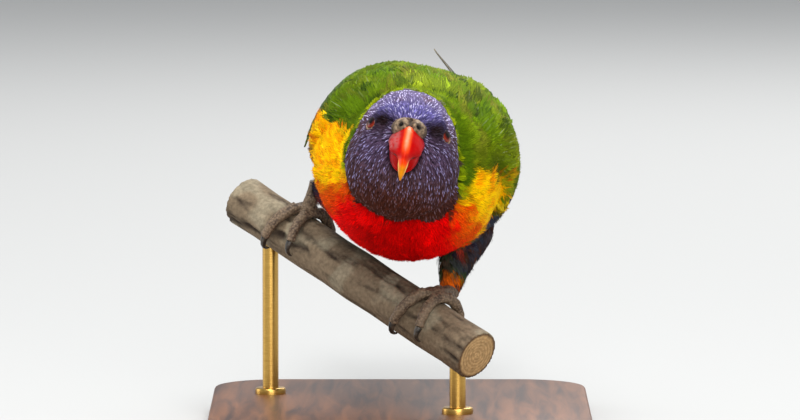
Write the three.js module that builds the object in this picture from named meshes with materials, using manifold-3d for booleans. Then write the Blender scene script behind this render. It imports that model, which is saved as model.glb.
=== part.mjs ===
// Rainbow lorikeet, life size, crouched on a sloping cut branch over a flat display base.
// Millimetres, +Z up, the bird looks along -Y, its tail runs to +Y, its left side is at +X.
// The origin is the centre of the underside of the base.
import * as THREE from "three";
import { mergeVertices } from "three/addons/utils/BufferGeometryUtils.js";
import Module from "manifold-3d";

const wasm = await Module();
wasm.setup();

// Driving dimensions of the whole bird
const JOINT_GAP = 0.3;
const TORSO_CENTRE = { x: 3.9, y: 0, z: 87 };
const TORSO_PITCH_DEG = 2;
const TORSO_ROLL_DEG = 15;
const TORSO_FRONT = -38;
const TORSO_REAR = 66;
const HEAD_CENTRE = { x: 1.3, y: -60, z: 93.6 };
const HEAD_PITCH_DEG = -3;
const HEAD_ROLL_DEG = 10.5;
const HEAD_REAR = 12;
const TAIL_LENGTH = 122;
const WING_TIP = 106;

// Driving dimensions of the perch and the stand
const PERCH_RADIUS = 8;
const PERCH_LENGTH = 112;
const BASE_WIDTH = 122;
const BASE_DEPTH = 156;
const BASE_HEIGHT = 8;
const BASE_CORNER = 22;
const ROD_RADIUS = 2.6;

const DEGREE = Math.PI / 180;
const TURN = Math.PI * 2;

// Colours and surfaces
const material = (colour, roughness, metalness = 0) =>
  new THREE.MeshStandardMaterial({ color: colour, roughness, metalness });
const violetFeather = material(0x3b3f9c, 0.8);
const greenFeather = material(0x4d8a1e, 0.8);
const limeFeather = material(0xa9bf2c, 0.8);
const flightFeather = material(0x2f6a22, 0.75);
const breastFeather = material(0xd2391b, 0.8);
const bareSkin = material(0x5d5648, 0.7);
const clawHorn = material(0x2c2926, 0.45);
const redBill = material(0xd8361c, 0.35);
const cereSkin = material(0x6b6451, 0.6);
const redEye = material(0x8c2f12, 0.15);
const barkWood = material(0x7a6650, 0.85);
const baseWood = material(0x6e4a2c, 0.5);
const rodBrass = material(0xb08d4a, 0.3, 1);

const group = new THREE.Group();

// Small tools for numbers and closed solids
const vector = (x, y, z) => new THREE.Vector3(x, y, z);
const mix = THREE.MathUtils.lerp;
const clamp01 = (value) => THREE.MathUtils.clamp(value, 0, 1);
const ease = (value) => THREE.MathUtils.smoothstep(value, 0, 1);

function between(rows, key, value) {
  // Smooth value of one named size at a station between the rows of a form
  const last = rows.length - 1;
  let i = 0;
  while (i < last - 1 && value > rows[i + 1].at) i += 1;
  const before = rows[Math.max(i - 1, 0)];
  const start = rows[i];
  const end = rows[i + 1];
  const after = rows[Math.min(i + 2, last)];
  const span = end.at - start.at;
  const u = clamp01((value - start.at) / span);
  const slopeIn = ((end[key] - before[key]) / (end.at - before.at)) * span;
  const slopeOut = ((after[key] - start[key]) / (after.at - start.at)) * span;
  const rise = end[key] - start[key];
  const square = u * u;
  const cube = square * u;
  return start[key] + slopeIn * (cube - 2 * square + u) + rise * (3 * square - 2 * cube)
    + slopeOut * (cube - square);
}

function frameAt(centre, pitchDeg, rollDeg) {
  // Place of a local frame, rolled about its own length, then pitched
  const pitch = new THREE.Matrix4().makeRotationX(pitchDeg * DEGREE);
  const roll = new THREE.Matrix4().makeRotationY(rollDeg * DEGREE);
  const place = new THREE.Matrix4().makeTranslation(centre.x, centre.y, centre.z);
  return place.multiply(pitch).multiply(roll);
}

function skinOver(rings, thin = false) {
  // Closed surface over a row of rings with the same number of points, flat at both ends.
  // The second half of a thin ring is its under face, split into triangles like its upper face.
  const count = rings[0].length;
  const points = rings.flat();
  const faces = [];
  for (let i = 0; i + 1 < rings.length; i += 1) {
    for (let j = 0; j < count; j += 1) {
      const next = (j + 1) % count;
      const a = i * count + j;
      const b = i * count + next;
      if (thin && j >= count / 2) faces.push([a, b, b + count], [a, b + count, a + count]);
      else faces.push([a, b, a + count], [b, b + count, a + count]);
    }
  }
  const lastRow = (rings.length - 1) * count;
  if (thin) {
    faces.push(...thinEnd(count, 0).map((face) => face.reverse()), ...thinEnd(count, lastRow));
    return outwardGeometry(points, faces);
  }
  const firstCentre = points.length;
  points.push(middleOf(rings[0]), middleOf(rings[rings.length - 1]));
  for (let j = 0; j < count; j += 1) {
    const next = (j + 1) % count;
    faces.push([firstCentre, next, j], [firstCentre + 1, lastRow + j, lastRow + next]);
  }
  return outwardGeometry(points, faces);
}

function thinEnd(count, row) {
  // End of a thin ring: a strip between its upper and its under face
  const faces = [];
  for (let j = 0; j + 1 < count / 2; j += 1) {
    const under = row + count - 1 - j;
    faces.push([row + j, row + j + 1, under - 1], [row + j, under - 1, under]);
  }
  return faces;
}

function middleOf(ring) {
  const sum = ring.reduce((total, point) => total.add(point), vector(0, 0, 0));
  return sum.divideScalar(ring.length);
}

function outwardGeometry(points, faces) {
  // The faces are turned over together if they enclose a negative volume
  const cross = vector(0, 0, 0);
  let volume = 0;
  for (const [a, b, c] of faces) {
    volume += points[a].dot(cross.crossVectors(points[b], points[c]));
  }
  const index = faces.flatMap(([a, b, c]) => (volume < 0 ? [a, c, b] : [a, b, c]));
  const geometry = new THREE.BufferGeometry();
  const flat = points.flatMap((point) => point.toArray());
  geometry.setAttribute("position", new THREE.Float32BufferAttribute(flat, 3));
  geometry.setIndex(index);
  return geometry;
}

function solidOf(geometry) {
  const bare = geometry.clone();
  bare.deleteAttribute("normal");
  bare.deleteAttribute("uv");
  const merged = mergeVertices(bare, 1e-4);
  return new wasm.Manifold(new wasm.Mesh({
    numProp: 3,
    vertProperties: merged.attributes.position.array,
    triVerts: new Uint32Array(merged.index.array),
  }));
}

const joined = (...geometries) => wasm.Manifold.union(geometries.map(solidOf));
const without = (solid, ...geometries) => solid.subtract(wasm.Manifold.union(geometries.map(solidOf)));

function geometryOf(solid) {
  // Only the largest closed surface is kept
  const pieces = solid.decompose().sort((a, b) => b.volume() - a.volume());
  const mesh = pieces[0].getMesh();
  const geometry = new THREE.BufferGeometry();
  geometry.setAttribute("position", new THREE.BufferAttribute(mesh.vertProperties, 3));
  geometry.setIndex(new THREE.BufferAttribute(mesh.triVerts, 1));
  return geometry;
}

function addPart(name, geometry, surface) {
  const mesh = new THREE.Mesh(geometry, surface);
  mesh.name = name;
  group.add(mesh);
}

// Torso: an egg of breast, back and belly that narrows to the rump
const TORSO_SIDES = 30;
const TORSO_STEP = 6.5;
const TORSO_FORM = [
  { at: -60, halfWidth: 15, halfHeight: 15, rise: 9 },
  { at: -48, halfWidth: 19, halfHeight: 20, rise: 4.5 },
  { at: -38, halfWidth: 23.5, halfHeight: 24.3, rise: 1.8 },
  { at: -26, halfWidth: 27.4, halfHeight: 28, rise: 0 },
  { at: -10, halfWidth: 28.9, halfHeight: 30.4, rise: -1.2 },
  { at: 8, halfWidth: 28.6, halfHeight: 29.8, rise: -1.5 },
  { at: 26, halfWidth: 26.4, halfHeight: 26, rise: -0.6 },
  { at: 44, halfWidth: 22.5, halfHeight: 20.2, rise: 0.8 },
  { at: 58, halfWidth: 17.5, halfHeight: 14.6, rise: 1.8 },
  { at: 72, halfWidth: 14.5, halfHeight: 11, rise: 2 },
  { at: 90, halfWidth: 14, halfHeight: 9.5, rise: 1.6 },
  { at: 120, halfWidth: 14, halfHeight: 9, rise: 1 },
];
const BREAST_SIDE = { swell: 3.2, back: -15, length: 13, angle: 98, spread: 28 };
const torsoFrame = frameAt(TORSO_CENTRE, TORSO_PITCH_DEG, TORSO_ROLL_DEG);

function breastSide(back, angleDeg) {
  // Swelling of the breast on each side, in front of the bend of the wing
  const turned = Math.abs(THREE.MathUtils.euclideanModulo(angleDeg + 180, 360) - 180);
  const lengthways = ((back - BREAST_SIDE.back) / BREAST_SIDE.length) ** 2;
  const roundways = ((turned - BREAST_SIDE.angle) / BREAST_SIDE.spread) ** 2;
  return BREAST_SIDE.swell * Math.exp(-lengthways - roundways);
}

function torsoPoint(back, angleDeg, lift) {
  // Point over the torso: distance back along it, angle down from its top to its left, height off it
  const angle = angleDeg * DEGREE;
  const height = lift + breastSide(back, angleDeg);
  const across = (between(TORSO_FORM, "halfWidth", back) + height) * Math.sin(angle);
  const up = (between(TORSO_FORM, "halfHeight", back) + height) * Math.cos(angle);
  const rise = between(TORSO_FORM, "rise", back);
  return vector(across, back, up + rise).applyMatrix4(torsoFrame);
}

function torsoRing(back, lift = 0) {
  const ring = [];
  for (let j = 0; j < TORSO_SIDES; j += 1) {
    ring.push(torsoPoint(back, (j * 360) / TORSO_SIDES, lift));
  }
  return ring;
}

function torsoBody(front, rear, lift) {
  const rings = [];
  const steps = Math.round((rear - front) / TORSO_STEP);
  for (let i = 0; i <= steps; i += 1) {
    rings.push(torsoRing(mix(front, rear, i / steps), lift));
  }
  return skinOver(rings);
}

const torsoShape = torsoBody(TORSO_FRONT, TORSO_REAR, 0);
const torsoRoom = torsoBody(TORSO_FRONT - 10, TORSO_REAR + JOINT_GAP, JOINT_GAP);
addPart("torso", torsoShape, breastFeather);

// Head: a rounded face that ends flat against the neck
const HEAD_SIDES = 26;
const HEAD_FORM = [
  { at: -20.5, halfWidth: 3.5, halfHeight: 5, rise: 1.6 },
  { at: -19, halfWidth: 7.2, halfHeight: 8.8, rise: 1.4 },
  { at: -16, halfWidth: 11.1, halfHeight: 12.8, rise: 1 },
  { at: -12, halfWidth: 14.2, halfHeight: 16.2, rise: 0.6 },
  { at: -6, halfWidth: 17.1, halfHeight: 18.9, rise: 0.2 },
  { at: 0, halfWidth: 18.4, halfHeight: 20.1, rise: 0 },
  { at: 7, halfWidth: 18.5, halfHeight: 20.2, rise: 0 },
  { at: 14, halfWidth: 18, halfHeight: 19.7, rise: 0 },
];
const HEAD_STATIONS = [-20.5, -19, -16.5, -13.5, -10, -6, -1.5, 3, 7.5];
const headFrame = frameAt(HEAD_CENTRE, HEAD_PITCH_DEG, HEAD_ROLL_DEG);
const inHead = (x, y, z) => vector(x, y, z).applyMatrix4(headFrame);

function headRing(back, lift = 0) {
  const ring = [];
  for (let j = 0; j < HEAD_SIDES; j += 1) {
    const angle = (j * TURN) / HEAD_SIDES;
    const across = (between(HEAD_FORM, "halfWidth", back) + lift) * Math.sin(angle);
    const up = (between(HEAD_FORM, "halfHeight", back) + lift) * Math.cos(angle);
    ring.push(inHead(across, back, up + between(HEAD_FORM, "rise", back)));
  }
  return ring;
}

const headShape = skinOver([...HEAD_STATIONS, HEAD_REAR].map((back) => headRing(back)));

function ovalChain(stations, sides, place, grow = 0) {
  // Closed form over ovals set square to a path in the y-z plane of a local frame
  const rings = stations.map((station, i) => {
    const before = stations[Math.max(i - 1, 0)];
    const after = stations[Math.min(i + 1, stations.length - 1)];
    const run = vector(0, after.y - before.y, after.z - before.z).normalize();
    const square = vector(0, -run.z, run.y);
    const ring = [];
    for (let j = 0; j < sides; j += 1) {
      const angle = (j * TURN) / sides;
      const across = (station.halfWidth + grow) * Math.sin(angle);
      const up = (station.halfDepth + grow) * Math.cos(angle);
      ring.push(place(across, station.y + square.y * up, station.z + square.z * up));
    }
    return ring;
  });
  return skinOver(rings);
}

// Bill: hooked upper half over a short lower half
const BILL_SIDES = 18;
const UPPER_BILL_PATH = [
  { y: -14, z: 3.8, halfWidth: 5, halfDepth: 5.4 },
  { y: -18, z: 4, halfWidth: 5.6, halfDepth: 5.9 },
  { y: -22, z: 3.7, halfWidth: 5.5, halfDepth: 5.4 },
  { y: -25.2, z: 2.2, halfWidth: 4.9, halfDepth: 4.6 },
  { y: -27.6, z: -0.2, halfWidth: 4, halfDepth: 3.6 },
  { y: -28.8, z: -3, halfWidth: 2.8, halfDepth: 2.5 },
  { y: -29.1, z: -5.6, halfWidth: 1.5, halfDepth: 1.4 },
  { y: -28.8, z: -7.4, halfWidth: 0.5, halfDepth: 0.5 },
];
const LOWER_BILL_PATH = [
  { y: -13.5, z: -1.6, halfWidth: 3.8, halfDepth: 3 },
  { y: -17.5, z: -2.6, halfWidth: 4.5, halfDepth: 3.6 },
  { y: -21, z: -3.2, halfWidth: 4.1, halfDepth: 3.2 },
  { y: -24, z: -3.4, halfWidth: 2.9, halfDepth: 2.1 },
  { y: -25.6, z: -3.4, halfWidth: 1.4, halfDepth: 1 },
];
const upperBill = ovalChain(UPPER_BILL_PATH, BILL_SIDES, inHead);
const upperBillRoom = ovalChain(UPPER_BILL_PATH, BILL_SIDES, inHead, JOINT_GAP);
const lowerBill = ovalChain(LOWER_BILL_PATH, BILL_SIDES, inHead);
const lowerBillRoom = ovalChain(LOWER_BILL_PATH, BILL_SIDES, inHead, JOINT_GAP);
addPart("bill_upper", upperBill, redBill);
addPart("bill_lower", geometryOf(without(joined(lowerBill), upperBillRoom)), redBill);

// Cere: bare saddle over the root of the bill, with the two nostrils
const CERE_PATH = [
  { y: -15.5, z: 7.4, halfWidth: 3.8, halfDepth: 2.4 },
  { y: -17.4, z: 7.8, halfWidth: 5.3, halfDepth: 3.4 },
  { y: -19.4, z: 7.9, halfWidth: 5.7, halfDepth: 3.4 },
  { y: -21.2, z: 7.4, halfWidth: 5.2, halfDepth: 3 },
  { y: -22.4, z: 6.8, halfWidth: 3.8, halfDepth: 2.2 },
];
const NOSTRIL_RADIUS = 0.75;
const NOSTRIL_DEPTH = 1.3;
const NOSTRIL_SPACING = 5.4;

function nostril(side) {
  const hole = new THREE.SphereGeometry(NOSTRIL_RADIUS, 10, 7).scale(1, NOSTRIL_DEPTH * 2, 1);
  hole.translate((side * NOSTRIL_SPACING) / 2, -21.9, 8.9);
  return hole.applyMatrix4(headFrame);
}

const cereRoom = ovalChain(CERE_PATH, BILL_SIDES, inHead, JOINT_GAP);
const cereSolid = without(
  joined(ovalChain(CERE_PATH, BILL_SIDES, inHead)),
  upperBillRoom,
  nostril(1),
  nostril(-1),
);
addPart("cere", geometryOf(cereSolid), cereSkin);

// Eyes: balls sunk in the face behind a raised ring of lids
const EYE_RADIUS = 4;
const EYE_SUNK = 2.9;
const EYE_ACROSS = 12.5;
const EYE_FORWARD = -10.8;
const EYE_UP = 9.8;
const EYE_TURN = { across: 0.76, forward: -0.56, up: 0.33 };
const LID_RADIUS = 3.2;
const LID_THICKNESS = 0.95;

function eyeBall(side, radius) {
  const reach = EYE_SUNK;
  const ball = new THREE.SphereGeometry(radius, 15, 10);
  ball.translate(
    side * (EYE_ACROSS - EYE_TURN.across * reach),
    EYE_FORWARD - EYE_TURN.forward * reach,
    EYE_UP - EYE_TURN.up * reach,
  );
  return ball.applyMatrix4(headFrame);
}

function lidRing(side) {
  const ring = new THREE.TorusGeometry(LID_RADIUS, LID_THICKNESS, 6, 16);
  const outward = vector(side * EYE_TURN.across, EYE_TURN.forward, EYE_TURN.up).normalize();
  const turn = new THREE.Quaternion().setFromUnitVectors(vector(0, 0, 1), outward);
  ring.applyQuaternion(turn);
  ring.translate(side * EYE_ACROSS, EYE_FORWARD, EYE_UP);
  return ring.applyMatrix4(headFrame);
}

const headSolid = without(
  joined(headShape, lidRing(1), lidRing(-1)),
  eyeBall(1, EYE_RADIUS + JOINT_GAP),
  eyeBall(-1, EYE_RADIUS + JOINT_GAP),
  upperBillRoom,
  lowerBillRoom,
  cereRoom,
);
addPart("head", geometryOf(headSolid), violetFeather);
addPart("eye_left", eyeBall(1, EYE_RADIUS), redEye);
addPart("eye_right", eyeBall(-1, EYE_RADIUS), redEye);

// Neck: short collar from the flat front of the torso to the flat rear of the head
const NECK_STEPS = 3;

function neckRings() {
  const rings = [];
  for (let i = 0; i <= NECK_STEPS; i += 1) {
    const ring = [];
    for (let j = 0; j < TORSO_SIDES; j += 1) {
      const angleDeg = (j * 360) / TORSO_SIDES;
      const angle = angleDeg * DEGREE;
      const rear = torsoPoint(TORSO_FRONT - JOINT_GAP, angleDeg, -0.2);
      const headRear = HEAD_REAR + JOINT_GAP;
      const front = inHead(
        (between(HEAD_FORM, "halfWidth", headRear) - 0.2) * Math.sin(angle),
        headRear,
        (between(HEAD_FORM, "halfHeight", headRear) - 0.2) * Math.cos(angle),
      );
      const u = i / NECK_STEPS;
      const swell = 0.03 * Math.sin(u * Math.PI);
      const point = rear.clone().lerp(front, u);
      const centre = torsoPoint(TORSO_FRONT, 0, -between(TORSO_FORM, "halfHeight", TORSO_FRONT))
        .lerp(inHead(0, HEAD_REAR, 0), u);
      ring.push(point.addScaledVector(point.clone().sub(centre), swell));
    }
    rings.push(ring);
  }
  return rings;
}

addPart("neck", skinOver(neckRings()), limeFeather);

// Feathers: slender vanes with a raised middle, laid over one another like tiles
const VANE_STATIONS = [0, 0.3, 0.62, 0.84, 0.96, 1];
const VANE_THICKNESS = 0.55;
const VANE_TIP = 0.7;
const VANE_ROOT_SHARE = 0.75;
const VANE_BLUNT = 0.015;

function vane(pointAt, stations = VANE_STATIONS) {
  // Closed vane from its root to its tip: upper face out, then the under face back
  return skinOver(stations.map((along) => [
    ...[-1, 0, 1].map((across) => pointAt(along, across, VANE_THICKNESS)),
    ...[1, 0, -1].map((across) => pointAt(along, across, 0)),
  ]), true);
}

function vaneWidth(along) {
  // Share of its full width that a vane has at a place along it
  const tip = Math.max(along - VANE_TIP, 0) / (1 + VANE_BLUNT - VANE_TIP);
  return mix(VANE_ROOT_SHARE, 1, ease(along * 3)) * Math.sqrt(1 - tip ** 2);
}

// Wings: a rounded arm, a tier of secondaries and a tier of primaries on each side
const WING_HINGE = 18;
const ARM_FRONT = -34;
const ARM_THICKNESS = 4.7;
const ARM_EDGE_THICKNESS = 1.6;
const ARM_UNDER = 0.9;
const ARM_UPPER = { front: 46, rear: 22 };
const ARM_LOWER = { front: 60, rear: 103 };
const WING_COLUMNS = 8;
const ROOT_COLUMNS = 5;
const RAISED_TIP = { from: 66, length: 44, drift: 19, across: 15.5, up: 12, slopeDeg: 35.6 };
const WING_FORM = [
  { at: WING_HINGE, halfWidth: 27.7, halfHeight: 27.9, rise: -1.1 },
  { at: 30, halfWidth: 26, halfHeight: 25, rise: -0.4 },
  { at: 44, halfWidth: 23.6, halfHeight: 20.8, rise: 0.8 },
  { at: 58, halfWidth: 20.6, halfHeight: 17.2, rise: 1.8 },
  { at: 72, halfWidth: 18, halfHeight: 14.5, rise: 2 },
  { at: 90, halfWidth: 15.6, halfHeight: 12, rise: 1.6 },
  { at: WING_TIP, halfWidth: 14.2, halfHeight: 10.5, rise: 1.3 },
];
const LEFT_WING = {
  name: "left",
  side: 1,
  raised: true,
  edge: [
    { at: WING_HINGE, angle: 103 },
    { at: 42, angle: 88 },
    { at: 66, angle: 62 },
    { at: 86, angle: 50 },
    { at: WING_TIP, angle: 40 },
  ],
};
const RIGHT_WING = {
  name: "right",
  side: -1,
  raised: false,
  edge: [
    { at: WING_HINGE, angle: 103 },
    { at: 42, angle: 88 },
    { at: 66, angle: 67 },
    { at: 86, angle: 55 },
    { at: WING_TIP, angle: 44 },
  ],
};

function wingPoint(wing, back, angleDeg, lift) {
  // Point over the folded wing: distance back, angle down from the top of the back, height
  const angle = wing.side * angleDeg * DEGREE;
  const across = (between(WING_FORM, "halfWidth", back) + lift) * Math.sin(angle);
  const up = (between(WING_FORM, "halfHeight", back) + lift) * Math.cos(angle);
  const point = vector(across, back, up + between(WING_FORM, "rise", back));
  if (wing.raised) {
    const above = (between(wing.edge, "angle", back) - angleDeg) / wingAngle(back, 1, lift);
    const slope = RAISED_TIP.slopeDeg * DEGREE;
    const along = above + RAISED_TIP.drift * ease((back - RAISED_TIP.from) / RAISED_TIP.length);
    const flat = vector(
      RAISED_TIP.across - along * Math.cos(slope) + lift * Math.sin(slope),
      back,
      RAISED_TIP.up + along * Math.sin(slope) + lift * Math.cos(slope),
    );
    point.lerp(flat, ease((back - RAISED_TIP.from + 4) / 14));
  }
  return point.applyMatrix4(torsoFrame);
}

function wingAngle(back, distance, lift) {
  // Angle that a distance round the wing takes up at a place along it
  const width = between(WING_FORM, "halfWidth", back);
  const height = between(WING_FORM, "halfHeight", back);
  return distance / (((width + height) / 2 + lift) * DEGREE);
}

function bodyShell(side, form, pointAt) {
  // Closed shell between two edges and two heights, station by station
  const rings = [];
  for (let i = 0; i <= form.rows; i += 1) {
    const u = i / form.rows;
    const back = mix(form.from, form.to, u);
    const outer = [];
    const inner = [];
    for (let j = 0; j <= form.columns; j += 1) {
      const v = j / form.columns;
      const angle = side * mix(form.upper(u, back), form.lower(u, back), v);
      outer.push(pointAt(back, angle, form.outer(u, v)));
      inner.push(pointAt(back, angle, form.inner(u, v)));
    }
    rings.push([...outer, ...inner.reverse()]);
  }
  return skinOver(rings, true);
}

const armForm = {
  from: ARM_FRONT,
  to: WING_HINGE,
  rows: 7,
  columns: WING_COLUMNS,
  upper: (u) => mix(ARM_UPPER.front, ARM_UPPER.rear, ease(u * 1.4)),
  lower: (u) => mix(ARM_LOWER.front, ARM_LOWER.rear, ease(u * 1.5)),
  inner: () => ARM_UNDER,
  outer: (u, v) => ARM_EDGE_THICKNESS
    + ARM_THICKNESS * ease(u * 2.2) * Math.sin(Math.PI * mix(0.06, 0.86, v)) ** 0.7,
};

// Greater coverts: short vanes from the rear of the arm over the roots of the secondaries
const COVERT_COUNT = 7;
const COVERT_WIDTH = 8.5;
const COVERT_TILT = 1;
const COVERT_LIFT = 5.95;
const COVERT_START = 9;
const COVERT_TIPS = { shortest: 31, longest: 35 };
const COVERT_TOP_ANGLE = 33;
const COVERT_LOWEST_ANGLE = 92;
const COVERT_ROOT_SINK = 1.4;

function covertVane(wing, order) {
  const share = order / (COVERT_COUNT - 1);
  const tip = mix(COVERT_TIPS.shortest, COVERT_TIPS.longest, Math.sin(share * Math.PI));
  return vane((along, across, height) => {
    const back = mix(COVERT_START, tip, along);
    const sink = COVERT_ROOT_SINK * (1 - ease(along * 3));
    const lift = COVERT_LIFT + (COVERT_TILT * (across + 1)) / 2 + height - sink;
    const middle = mix(COVERT_TOP_ANGLE, COVERT_LOWEST_ANGLE - 8 * along, share);
    const turn = wingAngle(Math.max(back, WING_HINGE), COVERT_WIDTH / 2, lift) * vaneWidth(along);
    const angle = middle + across * turn;
    if (back < WING_HINGE) return torsoPoint(back, wing.side * angle, lift);
    return wingPoint(wing, back, angle, lift);
  });
}

function wingCoverts(wing) {
  const vanes = [];
  for (let i = 0; i < COVERT_COUNT; i += 1) vanes.push(covertVane(wing, i));
  return geometryOf(joined(bodyShell(wing.side, armForm, torsoPoint), ...vanes));
}

// Secondaries: broad vanes that step down the wing from the back to the flank
const SECONDARY_COUNT = 6;
const SECONDARY_WIDTH = 9.1;
const SECONDARY_LIFT = 4.05;
const SECONDARY_ABOVE_EDGE = 9.2;
const SECONDARY_TOP_ANGLE = 25;
const SECONDARY_TIPS = { lowest: 70, highest: 47 };
const SECONDARY_TILT = { root: 0.5, tip: 2.2 };
const SECONDARY_ROOT_THICKNESS = 1.3;
const SECONDARY_ROOT_RISE = 0.15;

function secondaryVane(wing, order) {
  const tip = mix(SECONDARY_TIPS.lowest, SECONDARY_TIPS.highest, (order / (SECONDARY_COUNT - 1)) ** 1.3);
  return vane((along, across, height) => {
    const back = mix(WING_HINGE + 2, tip, along);
    const tilt = mix(SECONDARY_TILT.root, SECONDARY_TILT.tip, along * along);
    const rootRise = SECONDARY_ROOT_RISE * (1 - along) ** 3;
    const lift = SECONDARY_LIFT + rootRise + (tilt * (across + 1)) / 2 + height;
    const lowest = between(wing.edge, "angle", back) - wingAngle(back, SECONDARY_ABOVE_EDGE, lift);
    const highest = Math.min(SECONDARY_TOP_ANGLE + 6, lowest - 8);
    const middle = mix(lowest, highest, order / (SECONDARY_COUNT - 1));
    return wingPoint(wing, back, middle
      + across * wingAngle(back, SECONDARY_WIDTH / 2, lift) * vaneWidth(along), lift);
  });
}

function wingSecondaries(wing) {
  const rootForm = {
    from: WING_HINGE + JOINT_GAP,
    to: WING_HINGE + 6,
    rows: 1,
    columns: ROOT_COLUMNS,
    upper: () => SECONDARY_TOP_ANGLE,
    lower: () => 95,
    inner: () => SECONDARY_LIFT,
    outer: () => SECONDARY_LIFT + SECONDARY_ROOT_THICKNESS,
  };
  const root = bodyShell(1, rootForm, (back, angle, lift) => wingPoint(wing, back, angle, lift));
  const vanes = [];
  for (let i = 0; i < SECONDARY_COUNT; i += 1) vanes.push(secondaryVane(wing, i));
  return geometryOf(joined(root, ...vanes));
}

// Primaries: long narrow vanes along the lower edge of the wing, stepped to its tip
const PRIMARY_COUNT = 6;
const PRIMARY_WIDTH = 5.4;
const PRIMARY_SPACING = 2.5;
const PRIMARY_LIFT = 0.6;
const PRIMARY_TILT = 1.9;
const PRIMARY_SHORTEST = 77;

function primaryVane(wing, order) {
  const share = order / (PRIMARY_COUNT - 1);
  const tip = mix(WING_TIP, PRIMARY_SHORTEST, share ** 0.9);
  const stations = [0, 0.24, 0.46, 0.64, 0.8, 0.93, 1];
  return vane((along, across, height) => {
    const back = mix(WING_HINGE + 4, tip, along);
    const lift = PRIMARY_LIFT + (PRIMARY_TILT * (across + 1)) / 2 + height;
    const above = PRIMARY_WIDTH / 2 + PRIMARY_SPACING * order;
    const middle = between(wing.edge, "angle", back) - wingAngle(back, above, lift);
    return wingPoint(wing, back, middle
      + across * wingAngle(back, PRIMARY_WIDTH / 2, lift) * vaneWidth(along), lift);
  }, stations);
}

function wingPrimaries(wing) {
  const span = PRIMARY_WIDTH + PRIMARY_SPACING * (PRIMARY_COUNT - 1);
  const rootForm = {
    from: WING_HINGE + JOINT_GAP,
    to: WING_HINGE + 12,
    rows: 1,
    columns: ROOT_COLUMNS,
    upper: (u, back) => between(wing.edge, "angle", back) - wingAngle(back, span, PRIMARY_LIFT),
    lower: (u, back) => between(wing.edge, "angle", back),
    inner: () => PRIMARY_LIFT,
    outer: () => PRIMARY_LIFT + PRIMARY_TILT + VANE_THICKNESS * 0.6,
  };
  const root = bodyShell(1, rootForm, (back, angle, lift) => wingPoint(wing, back, angle, lift));
  const vanes = [];
  for (let i = 0; i < PRIMARY_COUNT; i += 1) vanes.push(primaryVane(wing, i));
  return geometryOf(joined(root, ...vanes));
}

for (const wing of [LEFT_WING, RIGHT_WING]) {
  addPart(`wing_${wing.name}_coverts`, wingCoverts(wing), greenFeather);
  addPart(`wing_${wing.name}_secondaries`, wingSecondaries(wing), flightFeather);
  addPart(`wing_${wing.name}_primaries`, wingPrimaries(wing), flightFeather);
}

// Tail: stepped pairs of long pointed vanes from a feathered root, with shorter coverts over and under
const TAIL_SIDES = 14;
const TAIL_DROP_DEG = 2;
const TAIL_ROOT_FORM = [
  { at: 0, halfWidth: 13.4, halfHeight: 9.5 },
  { at: 8, halfWidth: 12.6, halfHeight: 6.8 },
  { at: 16, halfWidth: 12, halfHeight: 4.6 },
  { at: 26, halfWidth: 11, halfHeight: 3.1 },
];
const TAIL_PAIRS = 6;
const TAIL_VANE_WIDTH = 9;
const TAIL_LAYER = 0.9;
const TAIL_TOP = 2;
const TAIL_OUTERMOST = 62;
const TAIL_VANE_ROOT = 10;
const TAIL_MIDDLE_OFFSET = 2.6;
const TAIL_COVERTS = 5;
const TAIL_COVERT_WIDTH = 6.5;
const TAIL_COVERT_SPACING = 4.1;
const TAIL_COVERT_REACH = 38;
const UNDER_COVERTS = 3;
const UNDER_COVERT_REACH = 34;
const tailFrame = torsoFrame.clone()
  .multiply(new THREE.Matrix4().makeTranslation(0, TORSO_REAR + JOINT_GAP, 2.2))
  .multiply(new THREE.Matrix4().makeRotationX(-TAIL_DROP_DEG * DEGREE));
const inTail = (x, y, z) => vector(x, y, z).applyMatrix4(tailFrame);

function tailRing(back) {
  const ring = [];
  for (let j = 0; j < TAIL_SIDES; j += 1) {
    const angle = (j * TURN) / TAIL_SIDES;
    ring.push(inTail(
      between(TAIL_ROOT_FORM, "halfWidth", back) * Math.sin(angle),
      back,
      between(TAIL_ROOT_FORM, "halfHeight", back) * Math.cos(angle),
    ));
  }
  return ring;
}

function tailWidth(along) {
  // Tail vanes narrow slowly from their middle to a blunt point
  return Math.min(1, 0.8 + along) * (1 - 0.55 * ease(along * 1.6 - 0.6)) * vaneWidth(along);
}

function tailVane(pair, side) {
  // The middle pair crosses the midline in two layers, the others step outward and down
  const tip = mix(TAIL_LENGTH, TAIL_OUTERMOST, (pair / (TAIL_PAIRS - 1)) ** 0.85);
  const layer = pair === 0 && side > 0 ? 1 : -pair;
  const start = pair === 0 ? TAIL_MIDDLE_OFFSET : TAIL_VANE_WIDTH / 2 + 0.2 + 0.7 * (pair - 1);
  return vane((along, across, height) => {
    const back = mix(TAIL_VANE_ROOT, tip, along);
    const spread = start + (0.008 + 0.012 * pair) * (back - TAIL_VANE_ROOT);
    const offset = spread + (across * TAIL_VANE_WIDTH * tailWidth(along)) / 2;
    const crown = -0.35 * across * across;
    return inTail(side * offset, back, TAIL_TOP + layer * TAIL_LAYER + crown + height);
  });
}

function tailCovert(order, count, up, reach) {
  // Short vane over (or under) the root of the tail, the middle one outermost
  const place = order - (count - 1) / 2;
  return vane((along, across, height) => {
    const back = mix(1, reach - 2.5 * Math.abs(place), along);
    const layer = (count - 1) / 2 - Math.abs(place);
    const level = mix(6.2, up > 0 ? 3.95 : 3.8, ease(along * 1.3)) + layer * TAIL_LAYER;
    const offset = place * TAIL_COVERT_SPACING + (across * TAIL_COVERT_WIDTH * vaneWidth(along)) / 2;
    return inTail(offset, back, up * (level - 0.3 * across * across + height));
  });
}

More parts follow.
